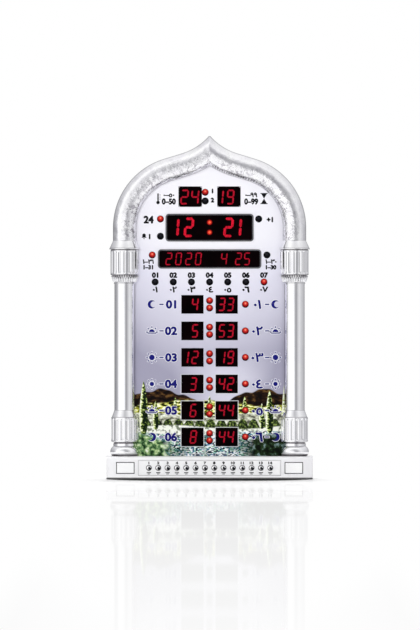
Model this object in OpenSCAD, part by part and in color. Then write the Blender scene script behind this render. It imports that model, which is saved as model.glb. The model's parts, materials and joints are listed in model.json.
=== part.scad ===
// Standing azan clock: a printed face with red seven-segment displays, framed by two fluted
// columns and a pointed half-round arch on a plinth with a row of keys. Front is -Y, up is +Z,
// and the origin is the middle of the underside.

/* [Case] */
// Height from the underside to the tip of the arch
overall_h = 400; // [392:1:440]
// Width of the plinth
plinth_w = 240; // [236:1:270]
// Depth of the plinth from front to back
plinth_d = 44; // [43:0.5:52]
// Height of the plinth
plinth_h = 26.3; // [26:0.1:30]
// Bevel round the front of the plinth
plinth_bevel = 1.2; // [0.4:0.1:1.6]
// Wall of the plated mouldings
frame_wall = 3.2; // [2.6:0.1:3.4]
// Depth of the rear cover
rear_d = 20; // [20:0.5:23]
// Wall of the rear cover
rear_wall = 2.4; // [2:0.1:2.8]
// How far the rear cover stands inside the outline of the arch
rear_inset = 2.4; // [1.8:0.1:3]
// Gap between parts that fit inside each other
fit_gap = 0.3; // [0.2:0.05:0.4]

/* [Arch] */
// Width of the half-round moulding
tube_w = 27.4; // [26:0.1:29]
// Outer radius of the shoulder
shoulder_r = 84; // [78:0.5:88]
// Angle that the shoulder turns through
shoulder_turn = 73; // [71:0.5:75]
// Distance of the hollow sweep's centre from the centre line
sweep_x = 52.6; // [50:0.1:56]
// Outer radius of the hollow sweep up to the tip
reverse_r = 69; // [62:0.5:74]
// Straight leg between the capital and the shoulder
leg_h = 15; // [10:0.5:20]
// How much the tip is blunted
tip_blunt = 1.1; // [0.5:0.1:2]

/* [Columns] */
// Distance of each column's axis from the end of the plinth
col_inset = 20.9; // [19:0.1:22]
// Radius of the shaft
shaft_r = 12; // [11:0.1:13]
// Largest radius of the torus under the foot
torus_r = 16.8; // [16.2:0.1:17.8]
// Height of the torus
torus_h = 11.6; // [10:0.1:13]
// Radius that the torus is rounded with
torus_round_r = 7.5; // [7:0.1:8]
// Height of the fullest point of the torus
torus_mid = 5.2; // [4.6:0.1:6]
// Radius of the ring above the torus
ring_r = 13.3; // [12.8:0.1:14]
// Height of the ring
ring_h = 4.8; // [3:0.1:6]
// Radius of the foot's fluted drum
low_drum_r = 15.7; // [15:0.1:16.6]
// Height of the foot's fluted drum
low_drum_h = 29; // [24:0.5:34]
// Height of the cone above the drum
cone_h = 8.4; // [6:0.1:11]
// Radius of the carved band under the capital, at its foot
echinus_low_r = 12.6; // [12.2:0.1:13.2]
// Radius of the carved band at its top
echinus_high_r = 14.5; // [13.8:0.1:15.4]
// Height of the carved band
echinus_h = 10.4; // [8:0.1:13]
// Radius of the capital's fluted drum
high_drum_r = 16.6; // [16:0.1:17.4]
// Height of the capital's fluted drum
high_drum_h = 30; // [26:0.5:34]
// Radius of the capital's rim
rim_r = 17.9; // [17.5:0.1:18.6]
// Thickness of the rim
rim_h = 1.4; // [1:0.1:2]
// Height of the flare between the rim and the arch
flare_h = 9; // [7:0.1:11]
// Number of flutes round the whole of the foot's drum
low_flutes = 16; // [12:2:20]
// Number of flutes round the whole of the capital's drum
high_flutes = 18; // [14:2:22]
// Radius of a flute
flute_r = 1.9; // [1.4:0.1:2.2]
// Depth of a flute
flute_depth = 1; // [0.6:0.1:1.3]
// Plain margin above and below the flutes
flute_margin = 1.8; // [1:0.1:3]

/* [Face] */
// Thickness of the printed panel
panel_t = 2.5; // [2:0.1:3]
// How far the panel runs under the arch
panel_lap = 5; // [4:0.1:6]
// Gap round a display or lamp in the panel
window_gap = 0.2; // [0.15:0.05:0.3]
// Depth of the display modules
module_d = 8; // [7:0.1:8.4]
// Width of the two windows at the top
top_window_w = 26.6; // [24:0.1:28]
// Height of the two windows at the top
top_window_h = 23.2; // [21:0.1:24]
// Distance of the top windows from the centre line
top_window_x = 22.6; // [22:0.1:26]
// Height of the top windows' middle above the springing of the arch
top_window_up = 36.2; // [34:0.1:38]
// Width of the time window with its rim
time_w = 102.8; // [98:0.1:104]
// Height of the time window with its rim
time_h = 32.3; // [28:0.1:33]
// Width of the date window with its rim
date_w = 120.8; // [116:0.1:122]
// Height of the date window with its rim
date_h = 22.4; // [20:0.1:24]
// Distance of the date window's middle below the springing
date_down = 36.6; // [35:0.1:38]
// Width of the rim round the large windows
bezel_w = 1.6; // [1.2:0.1:2]
// Height of the rim above the panel
bezel_proud = 1; // [0.6:0.1:1.4]
// Corner radius of the large windows
window_round = 2.4; // [1.6:0.1:3]
// Distance of the weekday lamps below the springing
weekday_down = 63.5; // [61:0.1:65]
// Spacing of the weekday lamps
weekday_pitch = 21.2; // [19:0.1:22]
// Distance of the first row of displays below the springing
rows_down = 89.6; // [88:0.1:92]
// Height of the last row's middle above the plinth
last_row_up = 22.2; // [20:0.1:24]
// Width of a row window
row_window_w = 25.6; // [24:0.1:27]
// Height of a row window
row_window_h = 21.4; // [18:0.1:23]
// Distance of the row windows from the centre line
row_window_x = 20; // [18.6:0.1:21]
// Distance of the rows' end lamps from the centre line
row_lamp_x = 41.8; // [40:0.1:44]
// Distance of the colon lamps above and below a row's middle
colon_up = 4.3; // [4:0.1:5]
// Diameter of a lamp
lamp_d = 7; // [6:0.1:7.2]
// Height of a lamp's dome above the panel
lamp_proud = 1.2; // [0.8:0.1:1.8]

/* [Keys] */
// Distance of the end buttons from the ends of the plinth
key_inset = 49.41; // [48.5:0.01:52]
// Radius of a button's cap
cap_r = 3.3; // [2.8:0.1:3.5]
// Height of a button's dome
dome_h = 1; // [0.6:0.1:1.4]
// How far the buttons stand in front of the plinth
key_proud = 0.9; // [0.6:0.1:1.4]
// Travel of a button
key_travel = 0.8; // [0.4:0.1:1]
// Radius of the flange that keeps a button in
flange_r = 4.4; // [4.1:0.1:4.7]
// Thickness of the flange
flange_t = 1; // [0.8:0.1:1.3]
// Radius of a button's stem
stem_r = 1.6; // [1.2:0.1:1.8]
// Length of a button's stem
stem_len = 4; // [3.4:0.1:5]
// Radial running clearance of a button
key_run = 0.1; // [0.06:0.01:0.1]
// Distance of the key strip from the ends of the plinth
strip_inset = 37.6; // [37:0.1:38.5]
// Height of the key strip
strip_h = 16.6; // [16:0.1:17.4]
// Thickness of the key strip
strip_t = 1.6; // [1.2:0.1:1.8]
// How deep the strip lies behind the plinth's front
strip_recess = 0.6; // [0.4:0.1:0.8]
// Width of a corner plate
plate_w = 21.4; // [18:0.1:22]
// Height of a corner plate
plate_h = 13.6; // [12:0.1:16]
// Thickness of a corner plate
plate_t = 1; // [0.8:0.1:1.4]
// Distance of a corner plate's middle from the end of the plinth
plate_inset = 22; // [20:0.1:23]
// Side of a switch
switch_w = 6; // [5.6:0.1:6.4]
// Height of a switch
switch_h = 3.5; // [3:0.1:4]

/* [Inside] */
// Thickness of the circuit boards
board_t = 1.6; // [1.2:0.1:1.6]
// Width of the main board
board_w = 152; // [150:1:156]
// Radius of the speaker
speaker_r = 25; // [22:0.5:26]
// Depth of the speaker
speaker_d = 6.4; // [5.6:0.1:6.4]
// Height of the speaker's middle above the plinth
speaker_up = 94; // [88:1:100]
// Radius of the backup cell
cell_r = 10; // [9.6:0.1:10]
// Thickness of the backup cell
cell_t = 3.2; // [2.5:0.1:3.4]
// Side of the battery door
door_w = 30; // [29:0.5:32]
// Distance of the battery door from the centre line
door_x = 36; // [34:1:40]
// Distance of the battery door below the springing
door_down = 92; // [86:1:98]
// Distance of each wall keyhole from the centre line
keyhole_x = 50; // [44:1:54]
// Height of the wall keyholes above the springing
keyhole_up = 10; // [6:1:14]
// Radius of a keyhole's entry
keyhole_r = 4.5; // [4:0.1:5]
// Radius of a keyhole's slot
keyhole_slot_r = 2.3; // [2:0.1:2.5]
// Radius of the opening for the supply plug
inlet_r = 4.2; // [4:0.1:4.4]
// Distance of the supply inlet from the centre line
inlet_x = 60; // [56:1:66]

/* [Hidden] */

silver = [0.86, 0.86, 0.88];
white = [0.95, 0.95, 0.96];
pale_face = [0.86, 0.86, 0.92];
window_black = [0.05, 0.01, 0.02];
lamp_red = [0.9, 0.12, 0.08];
rim_grey = [0.6, 0.6, 0.63];
board_green = [0.1, 0.35, 0.2];
cover_grey = [0.8, 0.8, 0.82];
steel = [0.7, 0.7, 0.72];
rubber_black = [0.1, 0.1, 0.1];

round_fn = 64;
sweep_fn = 180;
nudge = 0.5; // cutters run this far past the face that they cut

// Planes from front to back. The whole depth, domed keys included, is centred on y = 0.
front_y = key_proud - (plinth_d + key_proud) / 2;
back_y = front_y + plinth_d;
seam_y = back_y - rear_d;
back_inner_y = back_y - rear_wall;
panel_back_y = seam_y + panel_t;
board_front_y = seam_y + module_d;
board_back_y = board_front_y + board_t;

// Arch outline: a shoulder arc, a straight link and a reversed arc up to the tip
col_x = plinth_w / 2 - col_inset;
half_w = col_x + tube_w / 2;
shoulder_x = half_w - shoulder_r;
out_dir = [cos(shoulder_turn), sin(shoulder_turn)];
link_dir = [-sin(shoulder_turn), cos(shoulder_turn)];
both_r = shoulder_r + reverse_r;
link_len = (sweep_x - shoulder_x - both_r * out_dir[0]) / link_dir[0];
sweep_up = both_r * out_dir[1] + link_len * link_dir[1];
tip_rise = sweep_up - sqrt(reverse_r * reverse_r - sweep_x * sweep_x);
spring_z = overall_h + tip_blunt - tip_rise;
reverse_mid = [sweep_x, spring_z + sweep_up];
reverse_turn = 42; // enough to carry the sweep past the centre line, where it is mitred

// Column levels
capital_h = echinus_h + high_drum_h + rim_h + flare_h;
capital_z = spring_z - leg_h - capital_h;
foot_h = torus_h + ring_h + low_drum_h + cone_h;
foot_z = plinth_h;
shaft_z = foot_z + foot_h;
shaft_h = capital_z - shaft_z;
bore_r = shaft_r - frame_wall;

// Face heights
top_window_z = spring_z + top_window_up;
time_z = spring_z;
date_z = spring_z - date_down;
weekday_z = spring_z - weekday_down;
time_lamp_out = 6;
date_lamp_out = 6.6;
time_lamp_x = time_w / 2 + time_lamp_out;
time_lamp_up = 10.1;
date_lamp_x = date_w / 2 + date_lamp_out;
date_lamp_up = 4.6;
top_lamp_x = -5.1;
top_lamp_up = 5.1;
row_count = 6;
row_ids = [0 : row_count - 1];
row_pitch = (spring_z - rows_down - plinth_h - last_row_up) / (row_count - 1);
function row_z(i) = spring_z - rows_down - i * row_pitch;

// Keys
key_count = 14;
key_pitch = (plinth_w - 2 * key_inset) / (key_count - 1);
strip_w = plinth_w - 2 * strip_inset;
key_z = plinth_h / 2;
strip_front_y = front_y + strip_recess;
strip_back_y = strip_front_y + strip_t;
key_gap = 0.15;
ledge_gap = 0.4;
ledge_h = flange_r + ledge_gap;
flange_front_y = strip_back_y + key_gap;
flange_back_y = flange_front_y + flange_t;
stem_end_y = flange_back_y + stem_len;
stem_engage = 0.5;
switch_front_y = stem_end_y - stem_engage;
key_board_y = switch_front_y + switch_h;
key_board_back_y = key_board_y + board_t;
function key_x(i) = (i - (key_count - 1) / 2) * key_pitch;
plate_x = plinth_w / 2 - plate_inset;

// Screws
boss_r = 3.6;
pilot_depth = 7.6;
case_screw_r = 1.45;
case_pilot_r = 1.5;
case_hole_r = 1.65;
case_head_r = 2.75;
case_head_h = 2.2;
case_well_r = 3.1;
case_pillar_r = 4.4;
case_floor = 3;
board_screw_r = 1.1;
board_pilot_r = 1.15;
board_hole_r = 1.3;
board_head_r = 2.2;
board_head_h = 1.5;
board_screw_len = 5.6;
board_post_r = 2.9;
slot_w = 0.7;
slot_depth = 0.7;
plinth_screw_x = plate_x - plate_w / 2 + 1.6;
shoulder_screw_angles = [15, 55];
tube_mid_r = shoulder_r - tube_w / 2;
arch_screws = [for (a = shoulder_screw_angles)
  [shoulder_x + tube_mid_r * cos(a), spring_z + tube_mid_r * sin(a)]];
foot_screw_z = foot_z + foot_h / 2;
shaft_screws_z = [shaft_z + shaft_h / 4, shaft_z + 3 * shaft_h / 4];
capital_screw_z = capital_z + capital_h / 2;
column_screws_z = concat([foot_screw_z], shaft_screws_z, [capital_screw_z]);
half_screws = concat(
  [[plinth_screw_x, key_z]],
  [for (z = column_screws_z) [col_x, z]],
  arch_screws
);

// Boards
board_low_up = 9.7;
board_over = 2;
board_low_z = plinth_h + board_low_up;
board_high_z = top_window_z + top_window_h / 2 + board_over;
post_in = 8.5;
post_x = board_w / 2 - 5;
post_zs = [board_low_z + post_in, (board_low_z + board_high_z) / 2, board_high_z - post_in];
panel_post_out = 6;
panel_post_up = 24;
panel_post_x = board_w / 2 + panel_post_out;
panel_post_zs = [plinth_h + panel_post_up, weekday_z, spring_z + panel_post_out];
key_post_x = key_x(key_count - 1) + ledge_h + board_post_r + fit_gap;
key_post_up = flange_r + board_post_r;
key_board_w = 2 * (key_post_x + board_post_r + nudge);
key_posts = [[-key_post_x, key_z], [key_post_x, key_z], [0, key_z + key_post_up], [0, key_z - key_post_up]];

// Rear details
speaker_z = plinth_h + speaker_up;
speaker_lip = 1.6;
speaker_rim = 4;
speaker_seat = 0.2;
speaker_ring_r = speaker_r + 2.2;
speaker_ring_h = 3;
speaker_header_up = 12;
speaker_header_z = speaker_z + speaker_r + speaker_header_up;
door_lip = 2;
door_t = rear_wall / 2;
door_z = spring_z - door_down;
keyhole_z = spring_z + keyhole_up;
keyhole_rise = 8;
slot_gap = 4.4;
vent_slot = 1.8;
vent_x = 50;
vent_w = 26;
vent_up = 30;
vent_down = 60;
vent_zs = [board_low_z + vent_up, spring_z - vent_down];
chip_side = 14;
chip_t = 1.6;
chip_z = spring_z - vent_down;
lead_header = [8, 2.5, 5];
jack_size = [9, 11, 11];
jack_bore_r = 2.85;
jack_bore_depth = 9;
jack_pin_r = 1;
jack_pin_len = 7;
holder_wall = 1.6;
holder_base = 1.2;
holder_seat = 0.2;
clip_h = 5;
lead_t = 1;
lead_clear = 0.1;
supply_header_up = 6;
supply_header_z = board_low_z + supply_header_up;
ribbon_w = 14;
ribbon_x = -25;
lead_w = 3;
lead_way = 8;

// A flat drawing in x and height, given depth: its back lies at rear_y and it runs forward
module upright(rear_y, depth) {
  translate([0, rear_y, 0]) rotate([90, 0, 0]) linear_extrude(depth) children();
}

// A round bar along Y between two planes
module rod(r, y0, y1, x, z) {
  translate([x, y1, z]) rotate([90, 0, 0]) cylinder(r = r, h = y1 - y0, $fn = round_fn);
}

module box(x0, x1, y0, y1, z0, z1) {
  translate([x0, y0, z0]) cube([x1 - x0, y1 - y0, z1 - z0]);
}

module both_sides() {
  for (s = [0, 1]) mirror([s, 0, 0]) children();
}

module rounded(w, h, r) {
  square([w - 2 * r, h], center = true);
  square([w, h - 2 * r], center = true);
  for (sx = [-1, 1], sz = [-1, 1])
    translate([sx * (w / 2 - r), sz * (h / 2 - r)]) circle(r = r, $fn = 48);
}

function shoulder_end(d) = [shoulder_x, spring_z] + (shoulder_r - d) * out_dir;
function link_end(d) = reverse_mid - (reverse_r + d) * out_dir;
function tip_z(d) = reverse_mid[1] - sqrt((reverse_r + d) * (reverse_r + d) - sweep_x * sweep_x);

// The pointed outline of the case, moved inwards by d, from a level up to its blunted tip
module case_outline(d, low_z) {
  difference() {
    union() {
      for (s = [0, 1]) mirror([s, 0]) {
        polygon([[0, low_z], [half_w - d, low_z], [half_w - d, spring_z],
          shoulder_end(d), link_end(d), [0, tip_z(d)]]);
        translate([shoulder_x, spring_z]) circle(r = shoulder_r - d, $fn = sweep_fn);
      }
    }
    for (s = [0, 1]) mirror([s, 0]) translate(reverse_mid) circle(r = reverse_r + d, $fn = sweep_fn);
    translate([-tube_w, tip_z(d) - tip_blunt]) square([2 * tube_w, tube_w]);
  }
}

// Half-round hollow section of the arch, from its inner edge outwards. Its wall can be fuller.
module arch_section(fuller = 0) {
  translate([tube_w / 2, 0]) difference() {
    intersection() {
      circle(r = tube_w / 2 + fuller, $fn = 96);
      translate([-tube_w, 0]) square([2 * tube_w, tube_w]);
    }
    circle(r = tube_w / 2 - frame_wall - fuller, $fn = 96);
  }
}

// A straight run of the section that ends at the point p of the outer edge
module arch_straight(p, turn, len, fuller = 0) {
  translate(p) rotate([90, 0, turn]) translate([-tube_w, 0, 0]) linear_extrude(len) arch_section(fuller);
}

module half_arch() {
  difference() {
    translate([0, seam_y, 0]) rotate([90, 0, 0]) {
      arch_straight([half_w, spring_z, 0], 0, leg_h);
      translate([shoulder_x, spring_z, 0]) rotate_extrude(angle = shoulder_turn, $fn = sweep_fn)
        translate([shoulder_r - tube_w, 0]) arch_section();
      // the link is a hair fuller than the arcs, and closes over their ends
      arch_straight(concat(shoulder_end(0) + (link_len + nudge) * link_dir, 0), shoulder_turn,
        link_len + 2 * nudge, 0.02);
      translate(concat(reverse_mid, 0)) rotate(180 + shoulder_turn - reverse_turn)
        rotate_extrude(angle = reverse_turn, $fn = sweep_fn) translate([reverse_r, 0]) arch_section();
    }
    box(-half_w, 0, front_y, back_y, spring_z, overall_h + tube_w);
  }
  for (p = arch_screws) rod(boss_r, seam_y - tube_w / 2 + frame_wall / 2, seam_y, p[0], p[1]);
}

module arch_moulding() {
  color(silver) difference() {
    both_sides() half_arch();
    box(-tube_w, tube_w, front_y, back_y, overall_h, overall_h + tube_w);
    both_sides() for (p = arch_screws) rod(case_pilot_r, seam_y - pilot_depth, seam_y + nudge, p[0], p[1]);
  }
}

// Half of a turned column part: the profile is drawn as radius and height above its own base
module half_turned(z) {
  translate([col_x, seam_y, z]) rotate_extrude(angle = 180, start = 180, $fn = 96) children();
}

// Flutes round the front half of a drum
module flutes(count, drum_r, z, h) {
  for (i = [0 : count / 2 - 1]) {
    a = 180 + (i + 0.5) * 360 / count;
    translate([col_x, seam_y, z + flute_margin]) rotate(a) translate([drum_r - flute_depth + flute_r, 0, 0])
      cylinder(r = flute_r, h = h - 2 * flute_margin, $fn = 24);
  }
}

// A screw boss inside a column part, from its inner crown to the seam
module column_boss(z) {
  rod(boss_r, seam_y - bore_r - frame_wall / 2, seam_y, col_x, z);
}

module column_pilot(z) {
  rod(case_pilot_r, seam_y - pilot_depth, seam_y + nudge, col_x, z);
}

module column_foot() {
  drum_z = torus_h + ring_h;
  cone_z = drum_z + low_drum_h;
  color(silver) difference() {
    union() {
      difference() {
        half_turned(foot_z) {
          intersection() {
            translate([torus_r - torus_round_r, torus_mid]) circle(r = torus_round_r, $fn = 96);
            translate([bore_r, 0]) square([torus_r, torus_h]);
          }
          translate([bore_r, 0]) square([ring_r - frame_wall - bore_r, drum_z]);
          translate([bore_r, torus_h]) square([ring_r - bore_r, ring_h]);
          translate([bore_r, drum_z]) square([low_drum_r - bore_r, low_drum_h]);
          polygon([[bore_r, cone_z], [low_drum_r, cone_z], [shaft_r, foot_h], [bore_r, foot_h]]);
        }
        flutes(low_flutes, low_drum_r, foot_z + drum_z, low_drum_h);
      }
      column_boss(foot_screw_z);
    }
    column_pilot(foot_screw_z);
  }
}

module column_shaft() {
  color(silver) difference() {
    union() {
      half_turned(shaft_z) translate([bore_r, 0]) square([shaft_r - bore_r, shaft_h]);
      for (z = shaft_screws_z) column_boss(z);
    }
    for (z = shaft_screws_z) column_pilot(z);
  }
}

module column_capital() {
  rim_z = echinus_h + high_drum_h;
  flare_z = rim_z + rim_h;
  color(silver) difference() {
    union() {
      difference() {
        half_turned(capital_z) {
          polygon([[bore_r, 0], [echinus_low_r, 0], [echinus_high_r, echinus_h], [bore_r, echinus_h]]);
          translate([bore_r, echinus_h]) square([high_drum_r - bore_r, high_drum_h]);
          translate([bore_r, rim_z]) square([rim_r - bore_r, rim_h]);
          polygon([[bore_r, flare_z], [rim_r, flare_z], [tube_w / 2, capital_h], [bore_r, capital_h]]);
        }
        flutes(high_flutes, high_drum_r, capital_z + echinus_h, high_drum_h);
      }
      column_boss(capital_screw_z);
    }
    column_pilot(capital_screw_z);
  }
}

// The plinth's block, bevelled along the top, the foot and both ends of its front
module plinth_block() {
  b = plinth_bevel;
  half = plinth_w / 2;
  intersection() {
    translate([-half, 0, 0]) rotate([90, 0, 90]) linear_extrude(plinth_w) polygon([
      [front_y + b, 0], [back_y, 0], [back_y, plinth_h], [front_y + b, plinth_h],
      [front_y, plinth_h - b], [front_y, b]]);
    linear_extrude(plinth_h) polygon([
      [-half, front_y + b], [-half + b, front_y], [half - b, front_y], [half, front_y + b],
      [half, back_y], [-half, back_y]]);
  }
}

module base_plinth() {
  inner = plinth_w / 2 - frame_wall;
  roof_z = plinth_h - frame_wall;
  ledge_w = (key_count - 1) / 2 * key_pitch + ledge_h;
  color(silver) difference() {
    union() {
      difference() {
        plinth_block();
        box(-inner, inner, front_y + frame_wall, back_y + nudge, frame_wall, roof_z);
        box(-inner, inner, back_inner_y - fit_gap, back_y + nudge, frame_wall, plinth_h + nudge);
      }
      for (p = key_posts) rod(board_post_r, front_y + frame_wall / 2, key_board_y, p[0], p[1]);
      both_sides() rod(boss_r, front_y + frame_wall / 2, seam_y, plinth_screw_x, key_z);
    }
    upright(strip_back_y, strip_back_y - front_y + nudge)
      translate([0, key_z]) square([strip_w + fit_gap, strip_h + fit_gap], center = true);
    box(-ledge_w, ledge_w, front_y, front_y + frame_wall + nudge, key_z - ledge_h, key_z + ledge_h);
    both_sides() upright(front_y + plate_t, plate_t + nudge)
      translate([plate_x, key_z]) square([plate_w + fit_gap, plate_h + fit_gap], center = true);
    for (p = key_posts) rod(board_pilot_r, key_board_y - board_screw_len, key_board_y + nudge, p[0], p[1]);
    both_sides() rod(case_pilot_r, seam_y - pilot_depth, seam_y + nudge, plinth_screw_x, key_z);
    // way up for the leads, behind the panel
    box(-inlet_x - lead_way, inlet_x + lead_way, panel_back_y + 1, back_inner_y - 3,
      roof_z - nudge, plinth_h + nudge);
  }
}

module key_strip() {
  color(white) difference() {
    upright(strip_back_y, strip_t) translate([0, key_z]) square([strip_w, strip_h], center = true);
    for (i = [0 : key_count - 1])
      rod(cap_r + key_run, strip_front_y - nudge, strip_back_y + nudge, key_x(i), key_z);
  }
}

module corner_plate() {
  color(white) upright(front_y + plate_t, plate_t)
    translate([plate_x, key_z]) square([plate_w, plate_h], center = true);
}

module push_button(i) {
  dome_r = (cap_r * cap_r + dome_h * dome_h) / (2 * dome_h);
  dome_base_y = front_y - key_proud + dome_h;
  color(steel) {
    intersection() {
      translate([key_x(i), front_y - key_proud + dome_r, key_z]) sphere(r = dome_r, $fn = round_fn);
      rod(cap_r, front_y - key_proud - nudge, flange_front_y, key_x(i), key_z);
    }
    rod(cap_r, dome_base_y, flange_back_y, key_x(i), key_z);
    rod(flange_r, flange_front_y, flange_back_y, key_x(i), key_z);
    rod(stem_r, flange_back_y - nudge, stem_end_y, key_x(i), key_z);
  }
}

module tact_switches() {
  well = stem_engage + key_travel + 0.3;
  color(rubber_black) for (i = [0 : key_count - 1]) difference() {
    box(key_x(i) - switch_w / 2, key_x(i) + switch_w / 2, switch_front_y, key_board_y,
      key_z - switch_w / 2, key_z + switch_w / 2);
    rod(stem_r + key_run, switch_front_y - nudge, switch_front_y + well, key_x(i), key_z);
  }
}

// The socket of a lead, w wide at x, from the plane y0 backwards
module header(x, w, y0, z) {
  box(x - w / 2, x + w / 2, y0, y0 + lead_header[1], z, z + lead_header[2]);
}

module key_board() {
  edge = frame_wall + 0.6;
  color(board_green) {
    difference() {
      box(-key_board_w / 2, key_board_w / 2, key_board_y, key_board_back_y, edge, plinth_h - edge);
      for (p = key_posts) rod(board_hole_r, key_board_y - nudge, key_board_back_y + nudge, p[0], p[1]);
    }
    header(ribbon_x, ribbon_w, key_board_back_y, key_z - lead_header[2] / 2);
  }
}

// The two lamps between the top windows, then those beside the time and date windows
status_spots = [
  [top_lamp_x, top_window_z + top_lamp_up], [top_lamp_x, top_window_z - top_lamp_up],
  [-time_lamp_x, time_z + time_lamp_up], [-time_lamp_x, time_z - time_lamp_up],
  [time_lamp_x, time_z + time_lamp_up],
  [-date_lamp_x, date_z + date_lamp_up], [date_lamp_x, date_z + date_lamp_up],
];
weekday_spots = [for (i = [-3 : 3]) [i * weekday_pitch, weekday_z]];
row_spots = [for (i = row_ids) [row_lamp_x, row_z(i)]];
colon_spots = [for (i = row_ids, s = [-1, 1]) [0, row_z(i) + s * colon_up]];
all_lamps = concat(status_spots, weekday_spots, row_spots, colon_spots);

module window_cut(x, z, w, h, r) {
  translate([x, z]) rounded(w + 2 * window_gap, h + 2 * window_gap, r + window_gap);
}

module face_panel() {
  color(pale_face) difference() {
    upright(panel_back_y, panel_t) case_outline(tube_w - panel_lap, plinth_h);
    upright(panel_back_y + nudge, panel_t + 2 * nudge) {
      window_cut(-top_window_x, top_window_z, top_window_w, top_window_h, window_round);
      window_cut(top_window_x, top_window_z, top_window_w, top_window_h, window_round);
      window_cut(0, time_z, time_w - 2 * bezel_w, time_h - 2 * bezel_w, window_round);
      window_cut(0, date_z, date_w - 2 * bezel_w, date_h - 2 * bezel_w, window_round);
    }
    for (i = row_ids, s = [-1, 1]) {
      w = row_window_w / 2 + window_gap;
      h = row_window_h / 2 + window_gap;
      x = s * row_window_x;
      box(x - w, x + w, seam_y - nudge, panel_back_y + nudge, row_z(i) - h, row_z(i) + h);
    }
    for (p = all_lamps) rod(lamp_d / 2 + window_gap, seam_y - nudge, panel_back_y + nudge, p[0], p[1]);
  }
}

module bezel(z, w, h) {
  color(rim_grey) upright(seam_y, bezel_proud) translate([0, z]) difference() {
    rounded(w, h, window_round + bezel_w);
    rounded(w - 2 * bezel_w, h - 2 * bezel_w, window_round);
  }
}

module display(x, z, w, h) {
  color(window_black) upright(board_front_y, module_d) translate([x, z]) rounded(w, h, window_round);
}

module top_display(x) {
  display(x, top_window_z, top_window_w, top_window_h);
}

module row_displays(i) {
  color(window_black) for (s = [-1, 1])
    box(s * row_window_x - row_window_w / 2, s * row_window_x + row_window_w / 2, seam_y, board_front_y,
      row_z(i) - row_window_h / 2, row_z(i) + row_window_h / 2);
}

module lamps(spots) {
  r = lamp_d / 2;
  dome = (r * r + lamp_proud * lamp_proud) / (2 * lamp_proud);
  color(lamp_red) for (p = spots) {
    intersection() {
      translate([p[0], seam_y - lamp_proud + dome, p[1]]) sphere(r = dome, $fn = round_fn);
      rod(r, seam_y - lamp_proud - nudge, seam_y + nudge, p[0], p[1]);
    }
    rod(r, seam_y, board_front_y, p[0], p[1]);
  }
}

module main_board() {
  color(board_green) {
    difference() {
      box(-board_w / 2, board_w / 2, board_front_y, board_back_y, board_low_z, board_high_z);
      both_sides() for (z = post_zs) rod(board_hole_r, board_front_y - nudge, board_back_y + nudge, post_x, z);
    }
    header(inlet_x, lead_header[0], board_front_y - lead_header[1], supply_header_z);
    header(ribbon_x, ribbon_w, board_back_y, supply_header_z);
    header(0, lead_header[0], board_back_y, speaker_header_z);
  }
}

module processor_chip() {
  color(rubber_black)
    box(chip_side, 2 * chip_side, board_back_y, board_back_y + chip_t, chip_z, chip_z + chip_side);
}

// A bead on two legs, near the lower vents
module temperature_sensor() {
  bead_y = board_back_y + 3;
  bead_z = vent_zs[0] + 2 * slot_gap;
  color(steel) for (s = [-1, 1]) rod(0.4, board_back_y, bead_y, -vent_x + s, bead_z);
  color(rubber_black) translate([-vent_x, bead_y, bead_z]) sphere(r = 2, $fn = round_fn);
}

module speaker() {
  lip_y = back_inner_y - speaker_lip;
  magnet_y = back_inner_y - speaker_d;
  color(rubber_black) difference() {
    union() {
      rod(speaker_r, lip_y, back_inner_y, 0, speaker_z);
      rod(speaker_r - speaker_rim, lip_y - 2.6, lip_y + nudge, 0, speaker_z);
      rod(speaker_r / 2, magnet_y, lip_y, 0, speaker_z);
    }
    rod(speaker_r - 3, back_inner_y - 0.8, back_inner_y + nudge, 0, speaker_z);
  }
}

module dc_jack() {
  face_y = back_inner_y;
  floor_y = face_y - jack_bore_depth;
  color(rubber_black) {
    difference() {
      box(inlet_x - jack_size[0] / 2, inlet_x + jack_size[0] / 2, face_y - jack_size[1], face_y,
        key_z - jack_size[2] / 2, key_z + jack_size[2] / 2);
      rod(jack_bore_r, floor_y, face_y + nudge, inlet_x, key_z);
    }
    rod(jack_pin_r, floor_y - nudge, floor_y + jack_pin_len, inlet_x, key_z);
  }
}

module cell_holder() {
  base_y = board_back_y + holder_base;
  cell_y = base_y + cell_t;
  seat_r = cell_r + holder_seat;
  color(rubber_black) {
    difference() {
      rod(seat_r + holder_wall, board_back_y, cell_y, door_x, door_z);
      rod(seat_r, base_y, cell_y + nudge, door_x, door_z);
      box(door_x - 4, door_x + 4, base_y, cell_y + nudge, door_z - 2 * cell_r, door_z);
    }
    // clips that reach over the cell's edge
    for (s = [-1, 1]) {
      x = door_x + s * seat_r;
      post = x + s * holder_wall / 2;
      box(x - 1.2, x + 1.2, cell_y + 0.1, cell_y + 1, door_z - clip_h / 2, door_z + clip_h / 2);
      box(post - 0.7, post + 0.7, cell_y - 1, cell_y + 1, door_z - clip_h / 2, door_z + clip_h / 2);
    }
  }
}

module backup_cell() {
  base_y = board_back_y + holder_base;
  color(steel) rod(cell_r, base_y, base_y + cell_t, door_x, door_z);
}

// Straight slots that fill a round patch of the rear cover
module grille(r) {
  intersection() {
    circle(r = r, $fn = round_fn);
    for (i = [-4 : 4]) translate([0, i * slot_gap]) square([2 * r, vent_slot], center = true);
  }
}

module vents() {
  for (i = [0 : 5]) translate([0, i * slot_gap]) square([vent_w, vent_slot], center = true);
}

module keyhole() {
  circle(r = keyhole_r, $fn = round_fn);
  translate([0, keyhole_rise]) circle(r = keyhole_slot_r, $fn = round_fn);
  translate([-keyhole_slot_r, 0]) square([2 * keyhole_slot_r, keyhole_rise]);
}

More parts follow.
